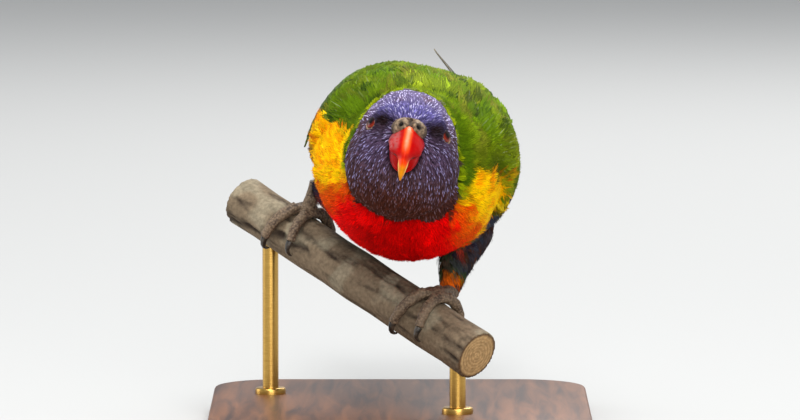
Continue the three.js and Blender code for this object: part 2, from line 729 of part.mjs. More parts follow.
const tailRoot = skinOver([0, 5, 11, 18, 26].map(tailRing));
const tailVanes = [];
for (let pair = 0; pair < TAIL_PAIRS; pair += 1) {
  tailVanes.push(tailVane(pair, 1), tailVane(pair, -1));
}
for (let i = 0; i < TAIL_COVERTS; i += 1) {
  tailVanes.push(tailCovert(i, TAIL_COVERTS, 1, TAIL_COVERT_REACH));
}
for (let i = 0; i < UNDER_COVERTS; i += 1) {
  tailVanes.push(tailCovert(i, UNDER_COVERTS, -1, UNDER_COVERT_REACH));
}
const tailSolid = without(joined(tailRoot, ...tailVanes), torsoRoom);
addPart("tail", geometryOf(tailSolid), flightFeather);

// Perch: cut branch that slopes down to the left foot and towards the viewer
const LEFT_GRIP = vector(11, -15, 43.4);
const RIGHT_GRIP = vector(-30.5, 24, 67.2);
const PERCH_RISE = PERCH_RADIUS;
const PERCH_SIDES = 20;
const PERCH_BEYOND_RIGHT = 27;
const PERCH_STEPS = 10;
const PERCH_UNEVENNESS = 0.35;
const perchRun = LEFT_GRIP.clone().sub(RIGHT_GRIP).normalize();
const perchUp = vector(0, 0, 1).addScaledVector(perchRun, -perchRun.z).normalize();
const perchFront = vector(0, 0, 0).crossVectors(perchUp, perchRun).normalize();
const perchStart = RIGHT_GRIP.clone().addScaledVector(perchRun, -PERCH_BEYOND_RIGHT)
  .addScaledVector(perchUp, -PERCH_RISE);

function roundPerch(along, angleDeg, radius) {
  // Point round the perch: distance from its upper end, angle forward from its top, distance off its axis
  const angle = angleDeg * DEGREE;
  return perchStart.clone()
    .addScaledVector(perchRun, along)
    .addScaledVector(perchUp, radius * Math.cos(angle))
    .addScaledVector(perchFront, radius * Math.sin(angle));
}

function perchBody(grow) {
  const rings = [];
  for (let i = 0; i <= PERCH_STEPS; i += 1) {
    const along = mix(-grow, PERCH_LENGTH + grow, i / PERCH_STEPS);
    const waist = PERCH_UNEVENNESS * Math.sin(i * 1.9) ** 2;
    const ring = [];
    for (let j = 0; j < PERCH_SIDES; j += 1) {
      ring.push(roundPerch(along, (j * 360) / PERCH_SIDES, PERCH_RADIUS - waist + grow));
    }
    rings.push(ring);
  }
  return skinOver(rings);
}

addPart("perch", perchBody(0), barkWood);

// Legs: feathered thighs, short bare shanks, and two toes each way round the perch
const LEG_SIDES = 12;
const gripAlong = { left: PERCH_BEYOND_RIGHT + RIGHT_GRIP.distanceTo(LEFT_GRIP), right: PERCH_BEYOND_RIGHT };
const PAD_HALF_ANGLE = 16;
const PAD_HALF_LENGTH = 4.4;
const PAD_HEIGHT = 3.6;
const PAD_STEPS = 2;
const PAD_SIDES = 10;
const SHANK_RADIUS = 2.3;
const thighPath = {
  left: [
    { back: 10, angle: 134, lift: -14, radius: 9 },
    { back: 8, angle: 133, lift: -4, radius: 11.4 },
    { back: 4, angle: 135, lift: 3, radius: 9.8 },
    { back: -1, angle: 140, lift: 8.5, radius: 6.2 },
    { back: -4, angle: 146, lift: 12.2, radius: 3.4 },
  ],
  right: [
    { back: 6, angle: -146, lift: -14, radius: 8.6 },
    { back: 12, angle: -140, lift: -6, radius: 9 },
    { back: 17, angle: -131, lift: -1, radius: 6.6 },
    { back: 20, angle: -125, lift: 2.4, radius: 4.4 },
    { back: 21.5, angle: -122, lift: 4.4, radius: 3.2 },
  ],
};

function roundChain(centres, sides, grow = 0) {
  // Closed form over circles set square to a path of points with a radius each
  const first = perchUp.clone().add(perchRun);
  const rings = centres.map((centre, i) => {
    const before = centres[Math.max(i - 1, 0)].point;
    const after = centres[Math.min(i + 1, centres.length - 1)].point;
    const run = after.clone().sub(before).normalize();
    first.addScaledVector(run, -first.dot(run)).normalize();
    const second = vector(0, 0, 0).crossVectors(run, first);
    const ring = [];
    for (let j = 0; j < sides; j += 1) {
      const angle = (j * TURN) / sides;
      ring.push(centre.point.clone()
        .addScaledVector(first, (centre.radius + grow) * Math.cos(angle))
        .addScaledVector(second, (centre.radius + grow) * Math.sin(angle)));
    }
    return ring;
  });
  return skinOver(rings);
}

const thighCentres = (name) => thighPath[name].map((station) => ({
  point: torsoPoint(station.back, station.angle, station.lift),
  radius: station.radius,
}));

function footPad(name) {
  // Saddle over the top of the perch that carries the toes
  const rings = [];
  for (let i = 0; i <= PAD_STEPS; i += 1) {
    const angle = mix(-PAD_HALF_ANGLE, PAD_HALF_ANGLE, i / PAD_STEPS);
    const ring = [];
    for (let j = 0; j < PAD_SIDES; j += 1) {
      const turn = (j * TURN) / PAD_SIDES;
      const along = gripAlong[name] + PAD_HALF_LENGTH * Math.sin(turn);
      const middle = PERCH_RADIUS + JOINT_GAP + PAD_HEIGHT / 2;
      ring.push(roundPerch(along, angle, middle + (PAD_HEIGHT / 2) * Math.cos(turn)));
    }
    rings.push(ring);
  }
  return skinOver(rings);
}

function shank(name) {
  const ankle = thighCentres(name)[thighPath[name].length - 1].point;
  const foot = roundPerch(gripAlong[name], 0, PERCH_RADIUS + JOINT_GAP + PAD_HEIGHT * 0.45);
  const before = thighCentres(name)[thighPath[name].length - 2].point;
  const start = ankle.clone().lerp(before, -0.06);
  return roundChain([
    { point: start, radius: SHANK_RADIUS + 0.5 },
    { point: start.clone().lerp(foot, 0.3), radius: SHANK_RADIUS },
    { point: start.clone().lerp(foot, 0.75), radius: SHANK_RADIUS },
    { point: foot, radius: SHANK_RADIUS - 0.4 },
  ], LEG_SIDES);
}

const TOE_SIDES = 9;
const TOE_STEPS = 6;
const CLAW_SIDES = 7;
const CLAW_STEPS = 5;
const TOES = [
  { name: "front_outer", way: 1, offset: -2.3, splay: -6, reach: 112, radius: 2.05, claw: 42 },
  { name: "front_inner", way: 1, offset: 2.3, splay: 2.5, reach: 92, radius: 1.9, claw: 38 },
  { name: "back_outer", way: -1, offset: -2.3, splay: -3, reach: 98, radius: 1.95, claw: 38 },
  { name: "back_inner", way: -1, offset: 2.3, splay: 3, reach: 78, radius: 1.8, claw: 34 },
];
const TOE_GAP_DEG = 1.7;

function toe(name, form, grow = 0) {
  // Jointed toe bent round the perch, thicker at its pads
  const start = PAD_HALF_ANGLE + TOE_GAP_DEG;
  const centres = [];
  for (let i = 0; i <= TOE_STEPS; i += 1) {
    const u = i / TOE_STEPS;
    const knuckle = 0.12 * Math.cos(u * TURN * 3);
    const radius = form.radius * (1 - 0.22 * u) + knuckle;
    centres.push({
      point: roundPerch(
        gripAlong[name] + form.offset + form.splay * u,
        form.way * mix(start, form.reach, u),
        PERCH_RADIUS + JOINT_GAP + form.radius,
      ),
      radius,
    });
  }
  return roundChain(centres, TOE_SIDES, grow);
}

function claw(name, form) {
  // Hooked claw from the end of its toe down to the bark
  const centres = [];
  for (let i = 0; i <= CLAW_STEPS; i += 1) {
    const u = i / CLAW_STEPS;
    const radius = mix(form.radius * 0.62, 0.22, u);
    const bow = 1.1 * Math.sin(u * Math.PI);
    centres.push({
      point: roundPerch(
        gripAlong[name] + form.offset + form.splay * (1 + 0.18 * u),
        form.way * mix(form.reach + TOE_GAP_DEG, form.reach + form.claw, u),
        mix(PERCH_RADIUS + JOINT_GAP + form.radius, PERCH_RADIUS + 0.6, u) + bow,
      ),
      radius,
    });
  }
  return roundChain(centres, CLAW_SIDES);
}

for (const name of ["left", "right"]) {
  const thigh = roundChain(thighCentres(name), LEG_SIDES);
  const thighRoom = roundChain(thighCentres(name), LEG_SIDES, JOINT_GAP);
  addPart(`thigh_${name}`, geometryOf(without(joined(thigh), torsoRoom)), greenFeather);
  const toeRooms = TOES.map((form) => toe(name, form, JOINT_GAP));
  const bare = without(joined(shank(name), footPad(name)), thighRoom, perchBody(JOINT_GAP), ...toeRooms);
  addPart(`shank_${name}`, geometryOf(bare), bareSkin);
  for (const form of TOES) {
    addPart(`toe_${name}_${form.name}`, toe(name, form), bareSkin);
    addPart(`claw_${name}_${form.name}`, claw(name, form), clawHorn);
  }
}

// Stand: flat base with rounded corners and two rods up to the underside of the perch
const BASE_BEVEL = 1.2;
const ROD_PLACES = [
  { name: "stand_rod_low", along: PERCH_LENGTH - 9 },
  { name: "stand_rod_high", along: 13 },
];
const FLANGE_RADIUS = 5;
const FLANGE_HEIGHT = 2;

function baseOutline(inset) {
  const halfWidth = BASE_WIDTH / 2 - inset;
  const halfDepth = BASE_DEPTH / 2 - inset;
  const corner = BASE_CORNER - inset;
  const outline = new THREE.Shape();
  outline.moveTo(corner - halfWidth, -halfDepth);
  outline.absarc(halfWidth - corner, corner - halfDepth, corner, -Math.PI / 2, 0);
  outline.absarc(halfWidth - corner, halfDepth - corner, corner, 0, Math.PI / 2);
  outline.absarc(corner - halfWidth, halfDepth - corner, corner, Math.PI / 2, Math.PI);
  outline.absarc(corner - halfWidth, corner - halfDepth, corner, Math.PI, Math.PI * 1.5);
  return outline;
}

function standBase() {
  const plate = new THREE.ExtrudeGeometry(baseOutline(BASE_BEVEL), {
    depth: BASE_HEIGHT - BASE_BEVEL * 2,
    bevelThickness: BASE_BEVEL,
    bevelSize: BASE_BEVEL,
    bevelSegments: 2,
    curveSegments: 5,
  });
  return plate.translate(0, 0, BASE_BEVEL);
}

function standRod(along) {
  // Rod with a round foot, hollowed at its top to the round of the perch
  const under = roundPerch(along, 180, 0);
  const foot = BASE_HEIGHT + JOINT_GAP;
  const profile = [
    new THREE.Vector2(0, foot),
    new THREE.Vector2(FLANGE_RADIUS, foot),
    new THREE.Vector2(FLANGE_RADIUS, foot + FLANGE_HEIGHT * 0.6),
    new THREE.Vector2(ROD_RADIUS, foot + FLANGE_HEIGHT),
    new THREE.Vector2(ROD_RADIUS, under.z),
    new THREE.Vector2(0, under.z),
  ];
  const turned = new THREE.LatheGeometry(profile, 16).rotateX(Math.PI / 2).translate(under.x, under.y, 0);
  return geometryOf(without(joined(turned), perchBody(JOINT_GAP)));
}

addPart("stand_base", standBase(), baseWood);
for (const { name, along } of ROD_PLACES) {
  addPart(name, standRod(along), rodBrass);
}

export default group;
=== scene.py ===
import math

import bpy
import numpy as np
from mathutils import Matrix, Vector, noise
from mathutils.bvhtree import BVHTree


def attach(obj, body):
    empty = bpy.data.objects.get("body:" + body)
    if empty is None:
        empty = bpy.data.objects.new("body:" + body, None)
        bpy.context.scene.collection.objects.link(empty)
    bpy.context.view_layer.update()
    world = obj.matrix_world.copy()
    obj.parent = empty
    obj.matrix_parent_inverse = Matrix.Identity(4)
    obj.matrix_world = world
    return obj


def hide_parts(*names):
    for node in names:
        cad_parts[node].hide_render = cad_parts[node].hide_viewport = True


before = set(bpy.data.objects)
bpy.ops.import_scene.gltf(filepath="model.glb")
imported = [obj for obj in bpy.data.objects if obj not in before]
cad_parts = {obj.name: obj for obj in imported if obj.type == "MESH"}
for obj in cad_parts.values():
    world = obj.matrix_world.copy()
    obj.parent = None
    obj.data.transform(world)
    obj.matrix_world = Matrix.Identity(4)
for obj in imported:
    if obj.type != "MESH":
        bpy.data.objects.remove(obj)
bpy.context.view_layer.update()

# Skin
# The mounted skin, drawn over a body form without a seam from the rim of the bill to the root of the
# tail, over the arms of both wings and down both thighs. It lies under the feathers by their depth, is
# sunk at the lores and full at the brow and cheeks, and is dyed with the markings of the plumage,
# darkened as painted shade deep among the feathers.
MM = 0.001
TORSO_FORM = np.array([  # back, half width, half height, rise
    (-60, 15, 15, 9), (-48, 19, 20, 4.5), (-38, 23.5, 24.3, 1.8), (-26, 27.4, 28, 0),
    (-10, 28.9, 30.4, -1.2), (8, 28.6, 29.8, -1.5), (26, 26.4, 26, -0.6), (44, 22.5, 20.2, 0.8),
    (58, 17.5, 14.6, 1.8), (72, 14.5, 11, 2), (90, 14, 9.5, 1.6), (120, 14, 9, 1)], float)
HEAD_FORM = np.array([
    (-20.5, 3.5, 5, 1.6), (-19, 7.2, 8.8, 1.4), (-16, 11.1, 12.8, 1), (-12, 14.2, 16.2, 0.6),
    (-6, 17.1, 18.9, 0.2), (0, 18.4, 20.1, 0), (7, 18.5, 20.2, 0), (14, 18, 19.7, 0)], float)
TAIL_ROOT_FORM = np.array([(0, 13.4, 9.5, 0), (8, 12.6, 6.8, 0), (16, 12, 4.6, 0), (26, 11, 3.1, 0)], float)
BREAST_SIDE = {"swell": (3.2, 0.8), "back": -15, "length": 13, "angle": 98, "spread": 28}
FULLNESS = (  # mantle, shoulder and flank
    {"height": 2.9, "back": -10, "length": 26, "angle": -24, "spread": 28},
    {"height": 2.2, "back": -6, "length": 26, "angle": 15, "spread": 12},
    {"height": 4.6, "back": 6, "length": 17, "angle": 118, "spread": 13})
ARM = {"front": -34, "rear": 18, "edge": 0.5, "thick": {1: 5.3, -1: 4.3}, "top": (42, 16), "sunk": -7,
       "low": {1: (62, 112), -1: (60, 103)}, "round": {1: 0.88, -1: 0.94}}
THIGHS = {  # back, angle, lift, radius, down each thigh
    1: [(13, 122, -12, 8), (12, 118, -2, 9.8), (8, 125, -1, 9.4), (4, 133, 1.9, 7.4), (0, 142, 6.7, 5.1),
        (-3, 146, 10.7, 4), (-4, 146.5, 12.6, 3.1)],
    -1: [(6, -146, -14, 8.6), (12, -140, -6, 9), (17, -131, -1, 6.6), (20, -125, 2.4, 4.4),
         (21.5, -122, 4.4, 3.2)]}
FACE_SHAPE = (  # height, middle and radius of the brow, then of lores and eye hollow, then of the cheek
    ((1.7, (10.5, -13.5, 13.2), 2.8), (1.5, (5.5, -17.5, 13.4), 2.8)),
    ((-1.7, (8.6, -16.5, 8.9), 2.9), (-0.9, (12.1, -12.3, 7.9), 2.3)),
    ((0.8, (13, -11, -3), 6.5), (1.2, (13.5, -3, -12), 6)))
COAT_DEPTH = {"head": 0.8, "body": 1.9, "arm": 1.5, "thigh": 1.3, "tail": 1.2}
CELL = 0.8
HEAD_ROWS = (-19.9, -19, -17.5, -15.5, -13, -10, -7, -4, -1, 2, 5, 8, 11)
TORSO_ROWS = np.arange(-38, 67, 3.2)
TAIL_ROWS = (2, 8, 14, 20, 25)
around = np.arange(0, 360, 6)


def between(form, column, at):
    """Smooth value of one size of a form at places between its rows."""
    at = np.asarray(at, float)
    low = np.clip(np.searchsorted(form[:, 0], at) - 1, 0, len(form) - 2)
    before, start, end, after = (form[np.clip(low + step, 0, len(form) - 1)] for step in (-1, 0, 1, 2))
    span = end[..., 0] - start[..., 0]
    u = np.clip((at - start[..., 0]) / span, 0, 1)
    slope_in = (end[..., column] - before[..., column]) / (end[..., 0] - before[..., 0]) * span
    slope_out = (after[..., column] - start[..., column]) / (after[..., 0] - start[..., 0]) * span
    rise = end[..., column] - start[..., column]
    return (start[..., column] + slope_in * (u ** 3 - 2 * u ** 2 + u) + rise * (3 * u ** 2 - 2 * u ** 3)
            + slope_out * (u ** 3 - u ** 2))


def mix(a, b, share):
    return a + (b - a) * share


def ease(value):
    value = np.clip(value, 0, 1)
    return value * value * (3 - 2 * value)


def band(value, low, high, soft):
    """1 between two values, falling softly to 0 outside them."""
    return ease((value - low) / soft + 0.5) * ease((high - value) / soft + 0.5)


def hump(value, middle, spread):
    return np.exp(-((value - middle) / spread) ** 2)


def bump_at(points, centre, radius):
    return np.exp(-((points - centre) ** 2).sum(-1) / radius ** 2)


def unit(vectors):
    return vectors / np.maximum(np.linalg.norm(vectors, axis=-1, keepdims=True), 1e-9)


def frame_at(centre, pitch, roll):
    turn = Matrix.Rotation(math.radians(pitch), 4, "X") @ Matrix.Rotation(math.radians(roll), 4, "Y")
    return np.array(Matrix.Translation(centre) @ turn)


def placed(place, x, y, z):
    return np.stack(np.broadcast_arrays(x, y, z), -1) @ place[:3, :3].T + place[:3, 3]


def local_to(place, points):
    return (points - place[:3, 3]) @ place[:3, :3]


torso_place = frame_at((3.9, 0, 87), pitch=2, roll=15)
head_place = frame_at((1.3, -60, 93.6), pitch=-3, roll=10.5)
tail_place = torso_place @ frame_at((0, 66.3, 2.2), pitch=-2, roll=0)


def form_point(form, place, back, angle, lift):
    """Place over a form: distance back, angle in degrees down from its top to the bird's left, height."""
    turn = np.radians(angle)
    across = (between(form, 1, back) + lift) * np.sin(turn)
    up = (between(form, 2, back) + lift) * np.cos(turn) + between(form, 3, back)
    return placed(place, across, back, up)


def torso_point(back, angle, lift):
    turn = (np.asarray(angle) + 180) % 360 - 180
    swell = np.where(turn < 0, *BREAST_SIDE["swell"]) * hump(back, BREAST_SIDE["back"], BREAST_SIDE["length"])
    swell = swell * hump(np.abs(turn), BREAST_SIDE["angle"], BREAST_SIDE["spread"])
    return form_point(TORSO_FORM, torso_place, back, angle, lift + swell)


def torso_measure(points):
    """Distance back from the middle of the trunk, angle down from its top and height over it, of places."""
    x, back, z = local_to(torso_place, points).T
    z = z - between(TORSO_FORM, 3, back)
    wide, high = between(TORSO_FORM, 1, back), between(TORSO_FORM, 2, back)
    angle = np.degrees(np.arctan2(x / wide, z / high))
    return back, angle, (np.hypot(x / wide, z / high) - 1) * (wide + high) / 2


def select_only(*objects):
    bpy.ops.object.select_all(action="DESELECT")
    for each in objects:
        each.select_set(True)
    bpy.context.view_layer.objects.active = objects[0]


def shade_smooth(made):
    select_only(made)
    bpy.ops.object.shade_smooth()


def edit_all(made, operation, **settings):
    """Runs one operation of edit mode on all of a piece."""
    select_only(made)
    bpy.ops.object.mode_set(mode="EDIT")
    bpy.ops.mesh.select_all(action="SELECT")
    operation(**settings)
    bpy.ops.object.mode_set(mode="OBJECT")


def face_outwards(made):
    edit_all(made, bpy.ops.mesh.normals_make_consistent, inside=False)


def ring_quads(rows, sides):
    """Corner numbers of the quads over rings of points."""
    i, j = np.meshgrid(np.arange(rows - 1), np.arange(sides), indexing="ij")
    nxt = (j + 1) % sides
    quads = np.stack([i * sides + j, i * sides + nxt, (i + 1) * sides + nxt, (i + 1) * sides + j], -1)
    return quads.reshape(-1, 4)


def ring_object(name, rings):
    """Closed object over rings of points given in millimetres."""
    rows, sides = rings.shape[:2]
    faces = ring_quads(rows, sides).tolist()
    faces += [list(range(sides))[::-1], list(range((rows - 1) * sides, rows * sides))]
    mesh = bpy.data.meshes.new(name)
    mesh.from_pydata((rings.reshape(-1, 3) * MM).tolist(), [], faces)
    made = bpy.data.objects.new(name, mesh)
    bpy.context.scene.collection.objects.link(made)
    face_outwards(made)
    return made


def joined(name, objects):
    select_only(*objects)
    bpy.ops.object.join()
    made = bpy.context.view_layer.objects.active
    made.name = name
    made.data.name = name
    return made


def with_modifier(made, kind, **settings):
    """Adds one modifier and applies it at once."""
    select_only(made)
    modifier = made.modifiers.new(kind.title(), kind)
    for key, value in settings.items():
        setattr(modifier, key, value)
    bpy.ops.object.modifier_apply(modifier=modifier.name)


def read_vertices(mesh, what):
    values = np.zeros(len(mesh.vertices) * 3, np.float32)
    mesh.vertices.foreach_get(what, values)
    return values.reshape(-1, 3).astype(float)


def points_of(mesh):
    return read_vertices(mesh, "co") / MM


def normals_of(mesh):
    return read_vertices(mesh, "normal")


def set_points(mesh, points):
    mesh.vertices.foreach_set("co", (points * MM).astype(np.float32).ravel())
    mesh.update()


def chain_rings(centres, radii, sides):
    """Rings of points set square to a path."""
    across = np.array([0.4, 0.3, 0.85])
    turn = np.arange(sides)[:, None] * 2 * np.pi / sides
    rings = []
    for i, centre in enumerate(centres):
        run = unit(centres[min(i + 1, len(centres) - 1)] - centres[max(i - 1, 0)])
        across = unit(across - run * (across @ run))
        rings.append(centre + radii[i] * (np.cos(turn) * across + np.sin(turn) * np.cross(run, across)))
    return np.array(rings)


def spine_rings():
    head_rows = [form_point(HEAD_FORM, head_place, y, around, -COAT_DEPTH["head"]) for y in HEAD_ROWS]
    torso_rows = []
    for back in TORSO_ROWS:
        full = sum(each["height"] * hump(back, each["back"], each["length"])
                   * hump((around - each["angle"] + 180) % 360 - 180, 0, each["spread"]) for each in FULLNESS)
        torso_rows.append(torso_point(back, around, full - COAT_DEPTH["body"]))
    tail_rows = [form_point(TAIL_ROOT_FORM, tail_place, y, around, -COAT_DEPTH["tail"]) for y in TAIL_ROWS]
    neck_rows = [mix(head_rows[-1], torso_rows[0], u) for u in (0.25, 0.5, 0.75)]
    return np.array(head_rows + neck_rows + torso_rows + tail_rows)


def arm_rings(side):
    rings = []
    for u in np.linspace(0, 1, 22):
        back = mix(ARM["front"], ARM["rear"], u)
        v = np.linspace(0, 1, 20)
        angle = side * mix(mix(*ARM["top"], ease(u * 1.4)), mix(*ARM["low"][side], ease(u * 1.5)), v)
        arch = np.sin(np.pi * mix(0.06, ARM["round"][side], v)) ** 0.7
        height = ARM["edge"] + ARM["thick"][side] * ease(u * 2.2) * arch
        outer = torso_point(back, angle, height - COAT_DEPTH["arm"])
        rings.append(np.concatenate([outer, torso_point(back, angle, ARM["sunk"])[::-1]]))
    return np.array(rings)


def thigh_rings(side):
    rows = np.array(THIGHS[side], float)
    centres = np.array([torso_point(back, angle, lift) for back, angle, lift, _ in rows])
    return chain_rings(centres, rows[:, 3] - COAT_DEPTH["thigh"], sides=24)


def shape_face(points, normals):
    """Brows, sunk lores, full cheeks, a narrow crown and the hollow in which each eye sits."""
    face = local_to(head_place, points)
    narrow = 0.9 * band(face[:, 2], 8, 26, 9) + 1.7 * hump(face[:, 2], 4.5, 5.5)
    narrow = narrow * ease((np.abs(face[:, 0]) - 7) / 5) * band(face[:, 1], -10, 15, 8)
    face[:, 0] = np.abs(face[:, 0])
    lift = sum(sum(high * bump_at(face, middle, radius) for high, middle, radius in pair)
               for pair in FACE_SHAPE)
    return points + normals * (lift - narrow)[:, None]


skin = joined("skin", [ring_object("spine", spine_rings())]
              + [ring_object("arm", arm_rings(side)) for side in (1, -1)]
              + [ring_object("thigh", thigh_rings(side)) for side in (1, -1)])
with_modifier(skin, "REMESH", mode="VOXEL", voxel_size=CELL * MM)
with_modifier(skin, "SMOOTH", factor=0.6, iterations=8)
set_points(skin.data, shape_face(points_of(skin.data), normals_of(skin.data)))
shade_smooth(skin)
edit_all(skin, bpy.ops.uv.smart_project, angle_limit=math.radians(62), island_margin=0.003)
skin.data.uv_layers[0].name = "OFBake"


def tint(red, green, blue):
    """Linear colour of a swatch read from 0 to 255."""
    return (np.array([red, green, blue]) / 255) ** 2.2


CROWN_LIT_FROM_ABOVE, BROW, CHEEK, BLUE_CHEEK = tint(98, 88, 120), tint(84, 78, 128), tint(72, 51, 53), tint(70, 57, 78)
THROAT, LORES_SHADE, MOTTLE = tint(66, 36, 28), tint(33, 23, 25), tint(92, 72, 84)
COLLAR, GREEN, LIME = tint(156, 168, 14), tint(86, 112, 8), tint(140, 152, 34)
DARK_GREEN, OLIVE = tint(42, 62, 18), tint(112, 104, 40)
RED, DEEP_RED, ORANGE, YELLOW = tint(234, 2, 2), tint(188, 0, 2), tint(226, 82, 0), tint(255, 204, 0)
BELLY, RUST, FLANK, MAROON = tint(44, 38, 52), tint(116, 44, 20), tint(54, 58, 70), tint(104, 44, 52)
THIGH, THIGH_SIDE, THIGH_GREEN = tint(74, 66, 52), tint(62, 44, 38), tint(64, 84, 8)
THIGH_PATCH, SUNLIT_GREEN = tint(255, 112, 0), tint(136, 148, 16)
# Painted shade at the lores under the brow, beside the bill and over each eye
LORES_AND_EYE_SHADE = (  # strength, middle and radius at the lores, beside the bill and over the eye
    (1.8, (8.8, -16.4, 9.4), 3.3), (1.0, (5.6, -19.2, 10.6), 2.2), (1.2, (12.4, -11.8, 11.6), 2.4))


def rough(points, size, seed):
    """Soft random value from -1 to 1 over the body, for ragged edges between colours."""
    return np.array([noise.noise(Vector(p) / size + Vector((seed, 0, 0))) for p in points]) * 1.8


def over(base, colour, share):
    share = np.clip(np.asarray(share, float), 0, 1)[..., None]
    return base * (1 - share) + colour * share


def layered(base, *layers):
    """Lays colours over a base in turn, each by its own share."""
    for colour, share in layers:
        base = over(base, colour, share)
    return base


def plain(colour, points):
    return np.tile(colour, (len(points), 1))


def behind_head(points):
    """Distance behind the line where the dark feathers of the head end."""
    face = local_to(head_place, points)
    low, high = -face[:, 2], face[:, 2]
    edge = 9.5 + 3.5 * ease((low - 2) / 14) + 3.9 * ease((low + 1) / 13) * ease((np.abs(face[:, 0]) - 6) / 7)
    edge = edge - 5.5 * ease((high - 1) / 8) * ease((24 - high) / 12)
    return face[:, 1] - edge - 0.4 * rough(points, 3, 11)


def glowing_breast(low, back, wide, fine):
    """Yellow sides that turn through orange to the red of the breast, deeper red toward the underside, partly
    as painted shade.
    """
    return layered(
        plain(YELLOW, low), (ORANGE, ease((low - 105) / 16) + 0.5 * ease(fine * 2.5 - 0.6)),
        (RED, ease((low - 123) / 15)),
        # Deeper red toward the underside, partly painted shade under the breast and partly random mottling
        (DEEP_RED, ease((low - 150) / 22) * 0.8 + 0.4 * ease(wide * 2 - 0.2) * (low > 140)),
        (ORANGE, 0.7 * ease((back + 14 + 4 * wide) / 8) * (low < 140)))


def leg_colours(points, fine):
    """Green thighs, blue-black on their outer side, with an orange patch above each shank."""
    outer = np.abs(local_to(torso_place, points)[:, 0])
    flat = points * (1, 0.5, 1)
    patch = bump_at(flat, (15.2, -5, 49.2), 4.2) + bump_at(flat, (-20, 8, 72), 4)
    return layered(
        plain(GREEN * 0.7, points), (THIGH, 0.6 + 0.6 * fine),
        (over(FLANK[None], THIGH_SIDE, 0.5 + fine), ease((outer - 16 + 2 * fine) / 5)),
        (RUST, 0.1 * ease(fine * 3 - 1)),
        (THIGH_GREEN, 0.75 * ease(2 * bump_at(flat, (18.4, -5, 52.2), 5) - 0.3 + 0.4 * fine)),
        (THIGH_PATCH, patch * 3 - 0.4 + 0.3 * fine))


def painted_shade_at(face):
    """Share of painted shade: at the lores under the brow, beside the bill, and a shadow over each eye."""
    return sum(strength * bump_at(face, middle, radius) for strength, middle, radius in LORES_AND_EYE_SHADE)


def green_coat(points, back, angle, wide):
    """Greens of the back and wings, mottled with lime and olive, with painted shade over the bird's right
    side, painted light on its left and a painted shadow beside the neck.
    """
    calm = ease((back + 4) / 20)
    return layered(
        plain(GREEN, points), (LIME, 0.15 + 0.45 * wide),
        (OLIVE, (0.55 - 0.35 * calm) * ease(rough(points, 6, 40) * 2.4 - 0.5)),
        (DARK_GREEN, (0.8 - 0.5 * calm) * ease(rough(points, 5, 70) * 2.2 - 0.5)),
        # Painted shade over the bird's right side and painted light on its left, then a painted shadow beside
        # the neck
        (DARK_GREEN, 0.3 * ease((-angle - 15) / 25)),
        (SUNLIT_GREEN, 0.4 * ease((angle - 48) / 16) * ease((88 - angle) / 10)),
        (DARK_GREEN * 0.8, 0.8 * hump(angle, 74, 12) * hump(back, -32, 9)))


def head_colours(points, wide, fine):
    """Crown lightened partly by painted light from above, darker cheeks, brown throat and lores dusky with
    painted shade under the brow.
    """
    face = local_to(head_place, points)
    high = face[:, 2]
    front = ease((-2 - face[:, 1]) / 13)
    violet = layered(
        plain(CHEEK, points), (BLUE_CHEEK, 0.9 * front * ease((high + 11 + 3 * wide) / 16)),
        # The crown's violet, lighter partly as painted light from above
        (CROWN_LIT_FROM_ABOVE, ease((high - 8 + 2 * fine) / 6)),
        (MOTTLE, 0.7 * ease(rough(points, 4, 90) * 2 - 0.6) * ease((high - 6) / 6)),
        (BROW, hump(high, 13, 3.4) * ease((-6 - face[:, 1]) / 8)),
        (THROAT, ease((-high - 4 + 2 * fine) / 11)))
    face[:, 0] = np.abs(face[:, 0])
    # Lores and the skin over the eyes darkened with painted shade under the brow
    return over(violet, LORES_SHADE, painted_shade_at(face))


def markings(points):
    """Colour of the plumage at places on the body. Its borders are in millimetres back and degrees round."""
    back, angle, height = torso_measure(points)
    side = np.abs(angle)
    wide, fine = rough(points, 9, 3), rough(points, 3, 11)
    crown = local_to(head_place, points)[:, 2]
    colour = green_coat(points, back, angle, wide)
    # Belly, vent, breast and its bright sides, each with a ragged edge
    low = side + 5 * wide + 3 * fine
    wing_bend = ease((angle - 82) / 6) * ease((120 - low) / 8)
    rim = -6 - 8 * ease((angle - 70) / 10) * ease((135 - low) / 10) + 4 * (low > 130)
    rim = rim + 3 * wing_bend - 4 * hump(angle, -92, 9)
    top = np.where(angle > 0, 78 + 6 * ease((back + 32) / 14), 73)
    breast = ease((low - top) / 5) * ease((rim - back + 3 * fine) / 5)
    colour = layered(
        colour, (BELLY, ease((low - 96) / 10) * ease((back + 10 + 4 * fine) / 8)),
        (RUST, 0.3 * ease((low - 112) / 10) * band(back + 6 * fine, 4, 34, 8) * (fine > 0.1)),
        (LIME, ease((back - 44) / 8) * ease((low - 100) / 12)),
        (glowing_breast(low, back, wide, fine), breast))
    # Collar behind the head, blue-black strip under the left wing, maroon one under the right, and legs
    behind = behind_head(points)
    collar = ease((-44 - back + 1.5 * fine) / 2.5) * ease((116 - low) / 6)
    line = ease((mix(1.4, 5, ease((crown - 9) / 8)) - behind) / 1.4) * mix(0.85, 0.4, ease((crown - 12) / 5))
    strip = ease((angle - 87) / 4) * ease((128 - angle) / 6)
    strip = strip * ease((back + 16 - 3.5 * wing_bend + fine) / 2) * ease((24 - back) / 8)
    bend = hump(angle, -93, 8) * ease((back + 14 + 2 * fine) / 3) * ease((4 - back) / 8)
    leg = ease((height - 0.1) / 0.4) * (side > 112) * (back > -20) * (back < 34)
    colour = layered(
        colour, (layered(plain(GREEN, points), (DARK_GREEN, 0.3), (COLLAR, line)), collar),
        (over(plain(DARK_GREEN, points), FLANK, ease((angle - 85) / 5)), strip),
        (MAROON, 0.8 * bend), (leg_colours(points, fine), leg))
    return over(colour, head_colours(points, wide, fine), ease(-behind / 0.3))


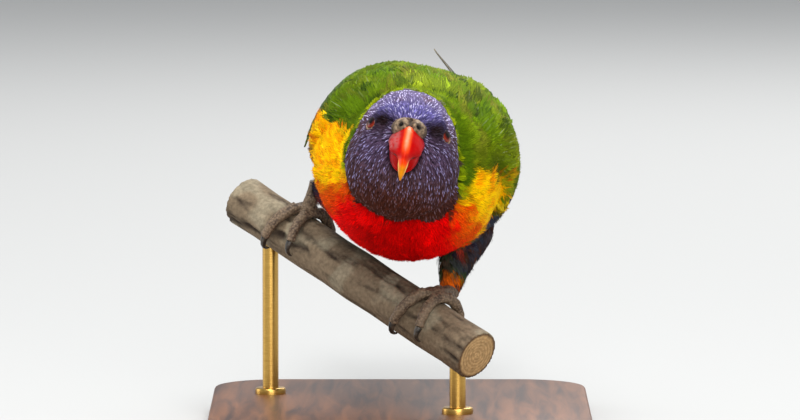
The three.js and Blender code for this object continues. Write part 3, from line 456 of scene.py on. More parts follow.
def set_colours(mesh, colours):
    layer = mesh.color_attributes.new("Dye", "FLOAT_COLOR", "POINT")
    values = np.column_stack([colours, np.ones(len(colours))])
    layer.data.foreach_set("color", values.astype(np.float32).ravel())


def new_material(name, roughness, **sockets):
    """Material with one shader, whose constant numbers are set on its own sockets."""
    made = bpy.data.materials.new(name)
    made.use_nodes = True
    shader = made.node_tree.nodes["Principled BSDF"]
    shader.inputs["Roughness"].default_value = roughness
    for socket, value in sockets.items():
        shader.inputs[socket.replace("_", " ")].default_value = value
    return made, made.node_tree, shader


def node(tree, kind, links=(), **values):
    """Adds a node, sets its values and joins its inputs."""
    made = tree.nodes.new(kind)
    for key, value in values.items():
        if hasattr(made, key):
            setattr(made, key, value)
        else:
            made.inputs[key.replace("_", " ")].default_value = value
    for socket, source in links:
        tree.links.new(source, made.inputs[socket])
    return made


def bumped(tree, shader, height, strength, distance):
    relief = node(tree, "ShaderNodeBump", [("Height", height)], Strength=strength, Distance=distance)
    tree.links.new(relief.outputs[0], shader.inputs["Normal"])


def dyed_material(name, roughness, spot_size, low, high, **sockets):
    """Material that takes the dye of each point and makes it darker and lighter in soft fine spots."""
    made, tree, shader = new_material(name, roughness, **sockets)
    dye = node(tree, "ShaderNodeAttribute", attribute_name="Dye")
    place = node(tree, "ShaderNodeTexCoord").outputs["Object"]
    spots = node(tree, "ShaderNodeTexNoise", [("Vector", place)], Scale=spot_size, Detail=4.0)
    level = node(tree, "ShaderNodeMapRange", [("Value", spots.outputs["Fac"])], From_Min=0.3, From_Max=0.7,
                 To_Min=low, To_Max=high)
    product = node(tree, "ShaderNodeVectorMath", [(0, dye.outputs["Color"]), (1, level.outputs[0])],
                   operation="MULTIPLY")
    tree.links.new(product.outputs[0], shader.inputs["Base Color"])
    return made, tree, shader, place


def grained(tree, shader, place, size, detail, strength, distance):
    """Gives a material a fine relief."""
    noise_texture = node(tree, "ShaderNodeTexNoise", [("Vector", place)], Scale=size, Detail=detail)
    bumped(tree, shader, noise_texture.outputs["Fac"], strength, distance)


def finish_piece(made, material, replaced=()):
    made.data.materials.append(material)
    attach(made, "root")
    if replaced:
        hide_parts(*replaced)


skin_points = points_of(skin.data)
# The skin takes the plumage's own colours at 0.4 of their brightness, as painted shade among the feathers
set_colours(skin.data, markings(skin_points) * 0.4)
skin_material, *sockets = dyed_material("Skin under feathers", roughness=0.9, spot_size=900.0, low=0.7,
                                        high=1.2, Specular_IOR_Level=0.05)
grained(*sockets, size=2600.0, detail=3.0, strength=0.6, distance=0.0004)
finish_piece(skin, skin_material, ["torso", "neck", "head", "thigh_left", "thigh_right"])

# Small feathers
# Contour feathers, set evenly in the skin and laid along its lie: from the bill back over the head and
# trunk, and up over the bends of the wings from the sides of the breast. Each is a fan of slender barbs,
# pale along its shaft, loose on mantle and breast and short, narrow and flat on the head.
LAVENDER, PALE_STREAK_HIGHLIGHT, DUSKY_ROSE = tint(164, 156, 210), tint(206, 198, 234), tint(136, 108, 116)
PALE_SHAFT = tint(176, 184, 140)
COLLAR_END = -36
SEED = 26
chance = np.random.default_rng(SEED)
skin_faces = np.zeros(len(skin.data.polygons) * 4, np.int32)
skin.data.polygons.foreach_get("vertices", skin_faces)
skin_faces = skin_faces.reshape(-1, 4)
face_points = skin_points[skin_faces].mean(1)
face_normals = unit(normals_of(skin.data)[skin_faces].mean(1))
skin_uv = np.zeros(len(skin.data.loops) * 2, np.float32)
skin.data.uv_layers["OFBake"].data.foreach_get("uv", skin_uv)
face_uv = skin_uv.reshape(-1, 4, 2).mean(1)
skin_tree = BVHTree.FromPolygons(skin_points.tolist(), skin_faces.tolist())


def along_skin(vectors, normals):
    return unit(vectors - normals * (vectors * normals).sum(-1, keepdims=True))


def on_leg(back, angle, height):
    """Whether places stand out from the underside of the trunk, where the thighs are."""
    return (height > 0.2) & (np.abs(angle) > 112) & (back > -16) & (back < 34)


def lie_of(points, normals, upwards=0.0):
    """Direction in which feathers lie at places on the skin, turned up round the body by a share."""
    face = local_to(head_place, points)
    backwards = torso_place[:3, 1] + upwards * torso_place[:3, 2]
    downwards = 0.6 * ease((9 - face[:, 2]) / 9)[:, None] * head_place[:3, 2]
    lie = unit(points - placed(head_place, 0, -24, 8.5)) - downwards
    lie = mix(lie, backwards, ease((face[:, 1] + 2) / 20)[:, None])
    leg = on_leg(*torso_measure(points))[:, None]
    outwards = unit(points - placed(torso_place, 0, 12, 0))
    return along_skin(np.where(leg, outwards + 0.25 * backwards, lie), normals)


def even_roots(region, gap, tries=4):
    """Places on the skin's faces, at least their own gap apart. Region and gap are given for each face."""
    faces = np.repeat(np.flatnonzero(region), tries)
    chance.shuffle(faces)
    share = chance.dirichlet((1, 1, 1, 1), len(faces))
    points = (skin_points[skin_faces[faces]] * share[..., None]).sum(1)
    gaps = np.broadcast_to(gap, len(region))[faces]
    cells = np.floor(points / gaps.max()).astype(int).tolist()
    taken, kept = {}, []
    for i, (cx, cy, cz) in enumerate(cells):
        near = [j for x in (cx - 1, cx, cx + 1) for y in (cy - 1, cy, cy + 1) for z in (cz - 1, cz, cz + 1)
                for j in taken.get((x, y, z), ())]
        if near and ((points[near] - points[i]) ** 2).sum(1).min() < gaps[i] ** 2:
            continue
        taken.setdefault((cx, cy, cz), []).append(i)
        kept.append(i)
    return points[kept], faces[kept]


def laid_lines(points, faces, lie, lengths, steps=4):
    """Line of each feather over the skin, from its root to its tip, with the skin's normals."""
    line, normals = [points], [face_normals[faces]]
    for _ in range(steps):
        aim = line[-1] + lie * (lengths / steps)[:, None]
        hits = [skin_tree.find_nearest(p) for p in aim.tolist()]
        line.append(np.array([hit[0] for hit in hits]))
        normals.append(face_normals[[hit[2] for hit in hits]])
        lie = along_skin(lie, normals[-1])
    return np.stack(line, 1), np.stack(normals, 1)


def sample_line(line, share):
    """Points of lines at shares of their length from 0 to 1."""
    place = np.clip(share, 0, 0.9999) * (line.shape[1] - 1)
    low = np.floor(place).astype(int)
    part = (place - low)[..., None]
    rows = np.arange(len(line)).reshape((-1,) + (1,) * (share.ndim - 1))
    return line[rows, low] * (1 - part) + line[rows, low + 1] * part


def mesh_from(name, points, quads, colours, corner_uv, web_uv=None):
    mesh = bpy.data.meshes.new(name)
    mesh.vertices.add(len(points))
    mesh.vertices.foreach_set("co", (points * MM).astype(np.float32).ravel())
    mesh.loops.add(quads.size)
    mesh.loops.foreach_set("vertex_index", quads.astype(np.int32).ravel())
    mesh.polygons.add(len(quads))
    mesh.polygons.foreach_set("loop_start", np.arange(0, quads.size, 4, dtype=np.int32))
    mesh.update(calc_edges=True)
    for label, uv in (("OFBake", corner_uv), ("Web", web_uv)):
        if uv is not None:
            mesh.uv_layers.new(name=label).data.foreach_set("uv", uv.astype(np.float32).ravel())
    set_colours(mesh, colours)
    made = bpy.data.objects.new(name, mesh)
    bpy.context.scene.collection.objects.link(made)
    shade_smooth(made)
    return made


BODY_BARB = {"barbs": 13, "round": 0.35, "uneven": 0.18, "yaw": 11, "root": 0.3, "wander": 0.16, "barb": 0.12,
             "stations": (0, 0.3, 0.65, 0.9, 1.12), "taper": (0.9, 1.1, 0.8, 0.5, 0.06), "lift": 1.15,
             "crown": 0.35, "stray": 0.45, "base": 0.1, "root_shade": 0.28, "mottle": 0.15, "shaft": 0.1,
             "streak": (0, 0.6, 1, 1, 1), "tone": 0.14}
HEAD_BARB = {"barbs": 5, "round": 0.25, "uneven": 0.08, "yaw": 8, "root": 0.5, "wander": 0.07, "barb": 0.36,
             "stations": (0, 0.4, 0.75, 1.05), "taper": (0.8, 1, 0.8, 0.1), "lift": 0.42, "crown": 0.12,
             "stray": 0.16, "base": 0.05, "root_shade": 0.42, "mottle": 0.3, "shaft": 0.3,
             "streak": (0, 0.15, 1, 0.6), "tone": 0.14}
TIP_SHARE = 0.003


def barbed_feathers(name, region, gap, size, form, slot, pale, tips=None, upwards=0.0):
    """Joined mesh of feathers. Each has several barbs that start on its shaft and fan out.
    pale gives the colour and strength of each shaft's streak, tips the colour that the barbs end in."""
    points, faces = even_roots(region, gap)
    count, barbs = len(points), form["barbs"]
    lengths, widths = (value * chance.uniform(0.75, 1.2, count) for value in size(points))
    lie = lie_of(points, face_normals[faces], upwards)
    yaw = np.radians(chance.normal(0, form["yaw"], count))[:, None]
    lie = lie * np.cos(yaw) + np.cross(face_normals[faces], lie) * np.sin(yaw)
    line, normals = laid_lines(points, faces, lie, lengths)
    stations = np.array(form["stations"])
    place = np.linspace(-1, 1, barbs)
    reach = 1 - form["round"] * place ** 2 + chance.uniform(-1, 1, (count, barbs)) * form["uneven"]
    share = np.clip(reach[:, :, None] * stations, 0, 1.25)
    inside = np.clip(share, 0, 1)
    middle = sample_line(line, inside.reshape(count, -1)).reshape(count, barbs, -1, 3)
    normal = sample_line(normals, inside.reshape(count, -1)).reshape(count, barbs, -1, 3)
    run = unit(line[:, -1] - line[:, 0])[:, None, None]
    middle = middle + run * ((share - inside) * lengths[:, None, None])[..., None]
    across = unit(np.cross(normal, run))
    spread = form["root"] + (1 - form["root"]) * ease(stations * 1.6)
    wander = chance.normal(0, form["wander"], (count, barbs, 1)) * stations ** 2
    offset = (place[None, :, None] * spread + wander) * widths[:, None, None] / 2
    half = widths[:, None] / 2 * form["barb"] * np.array(form["taper"])
    lift = form["lift"] * stations + form["crown"] * np.sin(np.pi * np.clip(stations, 0, 1))
    lift = lift * chance.uniform(0.6, 1.3, (count, 1, 1)) + 0.12 * (1 - np.abs(place[None, :, None]))
    lift = lift + chance.uniform(0, form["stray"], (count, barbs, 1)) * stations + form["base"]
    sides = np.stack([offset - half[:, None, :], offset + half[:, None, :]], -1)
    corners = middle[:, :, :, None] + across[:, :, :, None] * sides[..., None]
    corners = corners + normal[:, :, :, None] * lift[..., None, None]
    rows = len(stations)
    first = (np.arange(count * barbs) * rows * 2)[:, None, None]
    step = (np.arange(rows - 1) * 2)[None, :, None]
    quads = (first + step + np.array([0, 1, 3, 2])).reshape(-1, 4)
    # Dark at the root, partly grey down and partly painted shade between the feathers; each barb a little
    # lighter or darker than the next
    dye = markings(points)
    ends = dye if tips is None else tips(points, dye)
    shade = mix(form["root_shade"], 1, ease(stations * 1.8))
    shade = shade * np.exp(chance.normal(0, form["mottle"], (count, barbs, 1)))
    turned = ease(stations * 1.7 - 0.75)[None, None, :, None]
    tone = mix(dye[:, None, None], ends[:, None, None], turned)
    tone = tone * np.exp(chance.normal(0, form["tone"], (count, 1, 1, 1)))
    streak, strength = pale(points, dye)
    on_shaft = (np.abs(place) < form["shaft"])[None, :, None] * np.array(form["streak"])
    streak_share = on_shaft * strength[:, None, None]
    body = tone * shade[..., None] * (1 - streak_share[..., None])
    body = body + streak[:, None, None] * streak_share[..., None]
    patch = np.stack([sides / np.maximum(widths[:, None, None, None], 0.1),
                      np.broadcast_to(stations[:, None] - 0.5, sides.shape)], -1) * TIP_SHARE
    uv = (face_uv[faces][:, None, None, None] + patch).reshape(-1, 2)
    colours = np.repeat(body.reshape(-1, 3), 2, 0)
    made = mesh_from(name, corners.reshape(-1, 3), quads, colours, uv[quads.ravel()])
    finish_piece(made, feather_material)


def head_size(points):
    length = mix(1.9, 4.4, ease((local_to(head_place, points)[:, 1] + 19) / 24))
    length = length * (1 - 0.6 * ease(1 + behind_head(points) / 3))
    return length, length * 0.34


def head_streaks(points, dye):
    """Lavender shaft streaks, brightest on the crown, where their paleness is partly painted highlight, few
    on the throat and faint in the painted shade of the lores and over the eyes.
    """
    face = local_to(head_place, points)
    high = face[:, 2]
    # Streaks paler up the head, partly as painted highlight on the crown
    streak = layered(plain(LAVENDER, points), (PALE_STREAK_HIGHLIGHT, ease((high - 2) / 8)),
                     (DUSKY_ROSE, ease((-high - 5) / 10)))
    strength = ease(chance.random(len(points)) * 1.8 - mix(0.75, 0.6, ease((high - 3) / 6)))
    face[:, 0] = np.abs(face[:, 0])
    strength = strength * mix(1, 0.5, ease((-high - 8) / 8))
    return streak, strength * (1 - 0.95 * np.clip(1.6 * painted_shade_at(face), 0, 1))


def pale_shafts(points, dye):
    return dye * np.array([1.5, 1.4, 1.2]), np.full(len(points), 0.35)


def green_shafts(points, dye):
    """Some of the green feathers have a pale, greyish shaft."""
    back, angle, _ = torso_measure(points)
    often = 0.25 + 0.65 * hump(angle, 70, 14) * hump(back, -28, 12)
    return plain(PALE_SHAFT, points), often * chance.random(len(points)) ** 3


def burnt_tips(points, dye):
    """Orange to rusty ends of the long feathers at the upper rim of each yellow patch."""
    rim = ease((94 - np.abs(torso_measure(points)[1])) / 8)
    burnt = over(ORANGE[None], RED * 0.8, chance.random(len(points)) * 0.8)
    return over(dye, burnt, rim * chance.random(len(points)))


def sized(length, width):
    return lambda points: (np.full(len(points), float(length)), np.full(len(points), float(width)))


feather_material = dyed_material("Feather barbs", roughness=0.75, spot_size=1500.0, low=0.8, high=1.15,
                                 Specular_IOR_Level=0.04)[0]
back, angle, height = torso_measure(face_points)
side = np.abs(angle)
face_at = local_to(head_place, face_points)
on_head = behind_head(face_points) < 0
eye_gap = np.sqrt(((np.abs(face_at * (1, 0, 0)) + face_at * (0, 1, 1) - (11.9, -11.3, 7.9)) ** 2).sum(1))
bill_gap = np.hypot(face_at[:, 0] / 5, (face_at[:, 2] - 2.6) / 7.6)
bare = (eye_gap < 2.1) | ((bill_gap < 1) & (face_at[:, 1] < -12))
gap = mix(0.56, 0.86, ease((face_at[:, 1] + 18) / 26))
for name, part in (("crown_plumage", face_at[:, 2] > 4), ("cheek_plumage", face_at[:, 2] <= 4)):
    barbed_feathers(name, on_head & ~bare & part, gap, head_size, HEAD_BARB, "head_feathers", head_streaks)

trunk = ~on_head & ~bare
on_left = angle > 0
on_collar = back < COLLAR_END
on_back = ~on_collar & (side < 64)
on_breast = ~on_collar & (back < 8) & (side >= 60)
on_belly = (back >= 8) & (side >= 64)
arm_zone = (height > -1.3) & (side > 16) & (side < np.where(on_left, 116, 106)) & (back > -33) & (back < 19)
thigh_zone = on_leg(back, angle, height)
under_wing = (back > 20) & (side > 30) & (side < 96) & (height < 1)
rim_zone = (side > 79) & (side < np.where(on_left, 96, 104))
rim_zone = rim_zone & (back > COLLAR_END) & (back < np.where(on_left, -19, -14))
scapular_zone = (side > 14) & (side < 50) & (back > -12) & (back < 16)
SOFT = dict(BODY_BARB, barb=0.2, lift=1.2, stray=0.24, wander=0.12, uneven=0.26, mottle=0.1, tone=0.17)
FLAT = dict(BODY_BARB, barb=0.18, lift=0.8, stray=0.2, round=0.45, wander=0.12, mottle=0.1, tone=0.17)
LOOSE = dict(BODY_BARB, lift=1.3, stray=0.55, wander=0.26, round=0.5, yaw=12)
LONG = dict(BODY_BARB, lift=1.2, round=0.5, yaw=7, barb=0.26)
ZONES = (  # name, zone, gap, length and width, form, slot, shafts
    ("collar", on_collar, 1.1, (4.6, 2.2), BODY_BARB, "collar_feathers", pale_shafts),
    ("mantle", on_back & ~arm_zone & ~under_wing, 1.35, (12.5, 3.4), SOFT, "body_feathers", green_shafts),
    ("breast", on_breast & ~arm_zone & ~thigh_zone, 1.15, (5.2, 2.4), BODY_BARB, "body_feathers",
     pale_shafts),
    ("belly", on_belly & ~arm_zone & ~thigh_zone & ~under_wing, 1.6, (8, 3.6), BODY_BARB, "body_feathers",
     pale_shafts),
    ("thigh", thigh_zone, 1.2, (4.6, 2.2), FLAT, "leg_feathers", pale_shafts),
    ("arm", arm_zone, 1.25, (8, 3), FLAT, "wing_feathers", green_shafts),
    ("breast_side", rim_zone, 1.3, (5.4, 1.5), LOOSE, "body_feathers", pale_shafts, burnt_tips, 0.7),
    ("scapular", scapular_zone, 2.6, (14, 5.2), LONG, "wing_feathers", green_shafts))
for name, zone, spacing, size, *rest in ZONES:
    for half, of_side in (("left", on_left), ("right", ~on_left)):
        barbed_feathers(f"{name}_plumage_{half}", zone & trunk & of_side, spacing, sized(*size), *rest)

# Wings and tail
# Flight feathers: stiff vanes either side of a raised shaft, overlapped like tiles. Secondaries and
# primaries fold along each flank under two rows of coverts, and twelve stepped, pointed feathers make
# the tail. The tip of the left wing is held up a little, clear of the back.
WING_FORM = np.array([
    (18, 27.7, 27.9, -1.1), (30, 26, 25, -0.4), (44, 23.6, 20.8, 0.8), (58, 20.6, 17.2, 1.8),
    (72, 18, 14.5, 2), (90, 15.6, 12, 1.6), (106, 14.2, 10.5, 1.3)], float)
WINGS = {  # edge: back and angle along the lower edge of the folded wing
    "left": {"side": 1, "raised": True, "edge": [(18, 103), (42, 88), (66, 62), (86, 50), (106, 40)]},
    "right": {"side": -1, "raised": False, "edge": [(18, 103), (42, 88), (66, 67), (86, 55), (106, 44)]}}
WING_START = 18
RAISED_TIP = {"from": 62, "length": 48, "drift": 19, "across": 19, "curl": 1.6, "curl_from": 84, "up": 12.8,
              "slope": math.radians(35.6)}
VANE_ACROSS = np.array([-1, -0.72, -0.42, -0.16, 0, 0.14, 0.4, 0.7, 1])
VANE_RIDGE = np.array([0, 0.06, 0.1, 0.08, 0.34, 0.08, 0.1, 0.06, 0])
VANE_THICKNESS = 0.42
BARB_WAVES = 110.0
PRIMARY_BLACK, WORN_TIP, TAIL_UNDER = tint(40, 38, 38), tint(112, 104, 84), tint(150, 140, 50)
SECONDARY_UNDER, COVERT_UNDER = tint(58, 56, 50), tint(90, 80, 40)


def wing_angle(back, distance, lift):
    """Angle that a distance round the wing takes up."""
    return np.degrees(distance / ((between(WING_FORM, 1, back) + between(WING_FORM, 2, back)) / 2 + lift))


def wing_point(wing, back, angle, lift):
    turn = wing["side"] * np.radians(angle)
    across = (between(WING_FORM, 1, back) + lift) * np.sin(turn)
    up = (between(WING_FORM, 2, back) + lift) * np.cos(turn) + between(WING_FORM, 3, back)
    if wing["raised"]:
        tip, edge = RAISED_TIP, np.array(wing["edge"], float)
        along = (between(edge, 1, back) - angle) / wing_angle(back, 1, lift)
        along = along + tip["drift"] * ease((back - tip["from"]) / tip["length"])
        share = ease((back - tip["from"] + 4) / 14)
        flat_x = tip["across"] - along * math.cos(tip["slope"]) + lift * math.sin(tip["slope"])
        flat_x = flat_x - tip["curl"] * ease((back - tip["curl_from"]) / 24)
        flat_z = tip["up"] + along * math.sin(tip["slope"]) + lift * math.cos(tip["slope"])
        across, up = mix(across, flat_x, share), mix(up, flat_z, share)
    return placed(torso_place, across, back, up)


def vane_width(along, narrow=0.0):
    """Share of its full width that a vane has along its length, from a firm root to a rounded tip."""
    tip = np.clip((along - 0.72) / 0.285, 0, 1)
    return (0.7 + 0.3 * ease(along * 3)) * np.sqrt(1 - tip ** 2) * (1 - narrow * ease(along * 1.6 - 0.5))


def vane(point_at, rows=15):
    """Rings of one closed vane, its shares along and across, and its colours' places."""
    along = 1 - (1 - np.linspace(0, 1, rows)) ** 1.35
    across = np.concatenate([VANE_ACROSS, VANE_ACROSS[::-1]])
    height = np.concatenate([VANE_THICKNESS + VANE_RIDGE * 0.7, np.zeros(len(VANE_ACROSS))])
    ragged = 1 + chance.normal(0, 0.018, (rows, 1)) - 0.1 * (chance.random((rows, 1)) > 0.93)
    grid = np.broadcast_arrays(along[:, None], across[None] * ragged, height[None])
    return {"rings": point_at(*grid), "along": grid[0], "across": grid[1],
            "upper": np.broadcast_to(np.arange(len(across)) < len(VANE_ACROSS), grid[0].shape)}


def vane_piece(name, vanes, colour_of, length, width, replaced=()):
    """Joins vanes into one mesh, each with its own place on the map that colours are baked to."""
    rows, ring = vanes[0]["along"].shape
    half, count = ring // 2, len(vanes)
    quads = ring_quads(rows, ring)
    ends = np.array([(j, j + 1, ring - 2 - j, ring - 1 - j) for j in range(half - 1)])
    quads = np.concatenate([quads, ends[:, ::-1], ends + (rows - 1) * ring])
    turn = np.concatenate([np.tile([0, 1, 1, 0], ((rows - 1) * ring, 1)), np.zeros((2 * len(ends), 4), int)])
    points = np.concatenate([v["rings"].reshape(-1, 3) for v in vanes])
    rise = np.concatenate([quads + i * rows * ring for i in range(count)])
    columns = math.ceil(math.sqrt(count))
    corner, web = [], []
    around_share = (quads % ring + np.where((quads % ring == 0) & (turn == 1), ring, 0)) / ring
    along_share = (quads // ring) / (rows - 1)
    for i, each in enumerate(vanes):
        cell = np.array([i % columns, i // columns])
        corner.append((cell + 0.04 + 0.92 * np.stack([around_share, along_share], -1)) / columns)
        flat = np.stack([each["across"] * width / 20, each["along"] * length / 10], -1).reshape(-1, 2)
        web.append(flat[quads])
    colours = np.concatenate([colour_of(v["along"], v["across"], v["upper"]).reshape(-1, 3)
                              * np.exp(chance.normal(0, 0.1)) for v in vanes])
    made = mesh_from(name, points, rise, colours, np.concatenate(corner).reshape(-1, 2),
                     np.concatenate(web).reshape(-1, 2))
    face_outwards(made)
    finish_piece(made, vane_material, replaced)


vane_material, tree, shader, place = dyed_material("Flight feather vane", roughness=0.55, spot_size=1200.0,
                                                   low=0.82, high=1.12, Specular_IOR_Level=0.15)
web = node(tree, "ShaderNodeUVMap", uv_map="Web")
parts = node(tree, "ShaderNodeSeparateXYZ", [(0, web.outputs[0])])
side_of = node(tree, "ShaderNodeMath", [(0, parts.outputs[0])], operation="ABSOLUTE")
slant = node(tree, "ShaderNodeMath", [(0, parts.outputs[1]), (1, side_of.outputs[0])], operation="SUBTRACT")
barbs = node(tree, "ShaderNodeMath", [(0, slant.outputs[0])], operation="MULTIPLY")
barbs.inputs[1].default_value = BARB_WAVES
wave = node(tree, "ShaderNodeMath", [(0, barbs.outputs[0])], operation="SINE")
bumped(tree, shader, wave.outputs[0], strength=0.35, distance=0.00012)


def shaded(colour, across):
    """Darkens a vane with painted shade in the groove beside its shaft."""
    return colour * (1 - 0.225 * hump(np.abs(across), 0.14, 0.12))[..., None]


def spread_over(colour, along):
    return np.tile(colour, along.shape + (1,))


def secondary_colour(along, across, upper):
    green = over(spread_over(GREEN * 0.8, along), DARK_GREEN, 0.35 + 0.5 * ease(-across + 0.2))
    green = over(green, LIME, 0.35 * ease((across - 0.7) * 4))
    return np.where(upper[..., None], shaded(green, across), SECONDARY_UNDER)


def primary_colour(along, across, upper):
    dark = over(spread_over(PRIMARY_BLACK, along), WORN_TIP, ease((along - 0.88) / 0.1))
    green = over(dark, DARK_GREEN * 1.2, ease((across + 0.1) * 3) * ease((0.86 - along) * 6))
    under = over(dark, YELLOW * 0.8, 0.9 * band(along, 0.3, 0.55, 0.1) * (across < 0.2))
    return np.where(upper[..., None], shaded(green, across), under)


def covert_colour(along, across, upper):
    green = over(spread_over(GREEN, along), LIME, 0.15 * band(np.abs(across), 0.45, 0.8, 0.2))
    # Darker toward the root, and painted shade along both edges that parts each vane from the next
    green = over(green, DARK_GREEN, 0.6 * ease(1 - along * 1.5) + 0.35 * ease((np.abs(across) - 0.8) * 6))
    return np.where(upper[..., None], shaded(green, across), COVERT_UNDER)


def wing_vanes(wing):
    edge = np.array(wing["edge"], float)
    raised = wing["raised"]
    coverts, secondaries, primaries = [], [], []
    # The coverts lie in two rows. Every secondary and primary is laid with each row, both times in one place.
    for row, order in [(row, order) for row in (0, 1) for order in np.linspace(0, 1, 12)]:
        def covert(along, across, height):
            back = mix(9 - 11 * row, mix(31, 35, math.sin(order * math.pi)) - 12 * row, along)
            lift = mix(2.3, 3.9, ease(order * 3)) + 0.5 * row + 0.3 * (across + 1) + height
            lift = lift - (1.4 - 0.6 * row) * (1 - ease(along * 3))
            on_wing = np.maximum(back, WING_START)
            turn = wing_angle(on_wing, 2.6 - 0.2 * row, lift) * vane_width(along)
            angle = mix(31, 92 - 8 * along, order) + across * turn
            return np.where((back < WING_START)[..., None], torso_point(back, wing["side"] * angle, lift),
                            wing_point(wing, on_wing, angle, lift))

        def secondary(along, across, height):
            back = mix(20, mix(70, 47, order ** 1.3), along)
            lift = 2.5 + mix(0.4, 1.1, along ** 2) * (across + 1) / 2 + height
            lowest = between(edge, 1, back) - wing_angle(back, 9.2, lift)
            middle = mix(lowest, np.minimum(31, lowest - 8), order)
            angle = middle + across * wing_angle(back, 3.9, lift) * vane_width(along)
            return wing_point(wing, back, angle, lift)

        def primary(along, across, height):
            back = mix(22, mix(106, 77, order ** 0.9), along)
            wide = vane_width(along, 0.45) * (1 - 0.55 * raised * ease((back - RAISED_TIP["from"]) / 44))
            tilt = mix(1, 0.25 * wide, raised * along ** 3)
            lift = 0.4 + 0.65 * (across * tilt + 1) + height * mix(1, 0.5, along)
            fold = 1 - 0.7 * raised * ease((back - 66) / 24)
            middle = between(edge, 1, back) - wing_angle(back, 2.7 + 12.5 * order * fold, lift)
            return wing_point(wing, back, middle + across * wing_angle(back, 2.7, lift) * wide, lift)

        coverts.append(vane(covert))
        secondaries.append(vane(secondary, 18))
        primaries.append(vane(primary, 24))
    return coverts, secondaries, primaries


WING_PARTS = (  # name, colours, length and width of a vane
    ("coverts", covert_colour, 24, 7), ("secondaries", secondary_colour, 45, 8),
    ("primaries", primary_colour, 75, 6))
for label, wing in WINGS.items():
    for (part, colour_of, length, width), vanes in zip(WING_PARTS, wing_vanes(wing)):
        vane_piece(f"wing_{label}_{part}_vanes", vanes, colour_of, length, width,
                   [f"wing_{label}_{part}"])


def tail_colour(along, across, upper):
    green = over(spread_over(GREEN * 0.75, along), DARK_GREEN, 0.7 * ease(along * 1.4 - 0.2))
    green = over(green, OLIVE, 0.5 * ease((np.abs(across) - 0.5) * 3))
    return np.where(upper[..., None], shaded(green, across), over(green * 0.5, TAIL_UNDER, 0.6))


def tail_vanes():
    vanes = []
    for pair in range(6):
        for side in (1, -1):
            layer = 1 if pair == 0 and side > 0 else -pair
            start = 2.6 if pair == 0 else 4.7 + 0.7 * (pair - 1)

            def feather(along, across, height):
                back = mix(10, mix(122, 62, (pair / 5) ** 0.85), along)
                wide = np.minimum(1, 0.8 + along) * vane_width(along, 0.55)
                offset = start + (0.008 + 0.012 * pair) * (back - 10) + across * 4.5 * wide
                return placed(tail_place, side * offset, back, 2 + layer * 0.9 - 0.35 * across ** 2 + height)
            vanes.append(vane(feather, 22))
    return vanes


def tail_covert_vanes():
    vanes = []
    for up, count, reach, level in ((1, 9, 38, 3.95), (-1, 7, 34, 3.8)):
        ends = chance.uniform(-1.5, 1.5, count)
        for order in range(count):
            place = (order - (count - 1) / 2) * (4 / (count - 1))

            def feather(along, across, height):
                back = mix(1, reach - 5.5 * abs(place) + ends[order], along)
                rise = mix(6.2, level, ease(along * 1.3)) + (2 - abs(place)) * 0.9
                offset = place * 4.1 + across * 2.8 * vane_width(along)
                return placed(tail_place, offset, back, up * (rise - 0.3 * across ** 2 + height))
            vanes.append(vane(feather, 15))
    return vanes


vane_piece("tail_vanes", tail_vanes(), tail_colour, 100, 9, ["tail"])
vane_piece("tail_covert_vanes", tail_covert_vanes(), covert_colour, 34, 6)

# Bill
# Horn over bone: a hooked upper half with a ridge along its top and a notch in each cutting edge, over a
# short, deep, scooped lower half. It is waxed, red and yellow at the tip, paler along the ridge as a painted
# highlight, with painted shadow in the notches, and its root runs under the feathers of the face.
UPPER_BILL = np.array([  # place along it, back, up, half width, half depth
    (0, -14, 3.8, 5, 5.4), (1, -18, 4, 5.7, 5.9), (2, -22, 3.7, 5.5, 5.5), (3, -25, 2.4, 5.1, 4.7),
    (3.5, -26.3, 1.3, 4.8, 4), (3.85, -27.3, 0.4, 3.1, 3.3), (4.1, -27.9, -0.5, 1.95, 2.7),
    (5, -28.8, -3, 1.45, 2.1), (6, -29.2, -5.4, 0.9, 1.2), (7, -28.9, -7.3, 0.2, 0.25)], float)
LOWER_BILL = np.array([
    (0, -13.5, 1.2, 3.8, 5.6), (1, -17.5, 1.4, 4.6, 6.2), (2, -21, 1.3, 4.7, 6.4), (3, -24, 1, 4.5, 6),
    (3.6, -25.8, 0.4, 3.9, 4.9), (4.1, -26.9, -0.2, 2.7, 3.3), (4.5, -27.5, -0.7, 1, 1.2)], float)
BILL_HALVES = (  # name, path, rows, sides, ridge, shares of the depth over and under the path
    ("upper", UPPER_BILL, 72, 56, 0.4, 1, 0.45), ("lower", LOWER_BILL, 40, 48, 0, 0.12, 1))
NOTCH = (2.5, -26.8, 0)
BILL_RED, LOWER_BILL_SHADE, WORN_HORN_AND_SHEEN = tint(168, 2, 2), tint(90, 4, 6), tint(168, 84, 82)
RIDGE_HIGHLIGHT_HALO, RIDGE_HIGHLIGHT, EMBER = tint(244, 84, 34), tint(236, 142, 110), tint(226, 56, 3)
HOOK, HOOK_RIM_HIGHLIGHT, NOTCH_SHADOW = tint(204, 124, 6), tint(250, 196, 104), tint(24, 6, 4)


def oval_rings(path, rows, sides, ridge, over_share, under_share):
    """Rings square to a path in the middle plane of the head, narrowed to a ridge along their tops."""
    at = np.linspace(0, path[-1, 0], rows)
    y, z, wide, deep = (between(path, column, at)[:, None] for column in (1, 2, 3, 4))
    run = unit(np.concatenate([np.gradient(y, axis=0), np.gradient(z, axis=0)], 1))
    turn = np.arange(sides) * 2 * np.pi / sides
    top = np.clip(np.cos(turn), 0, 1)
    up = deep * np.where(top > 0, over_share, under_share) * np.cos(turn)
    across = wide * np.sin(turn) * (1 - ridge * top ** 1.5)
    return placed(head_place, across, y + run[:, 1:] * up, z - run[:, :1] * up)


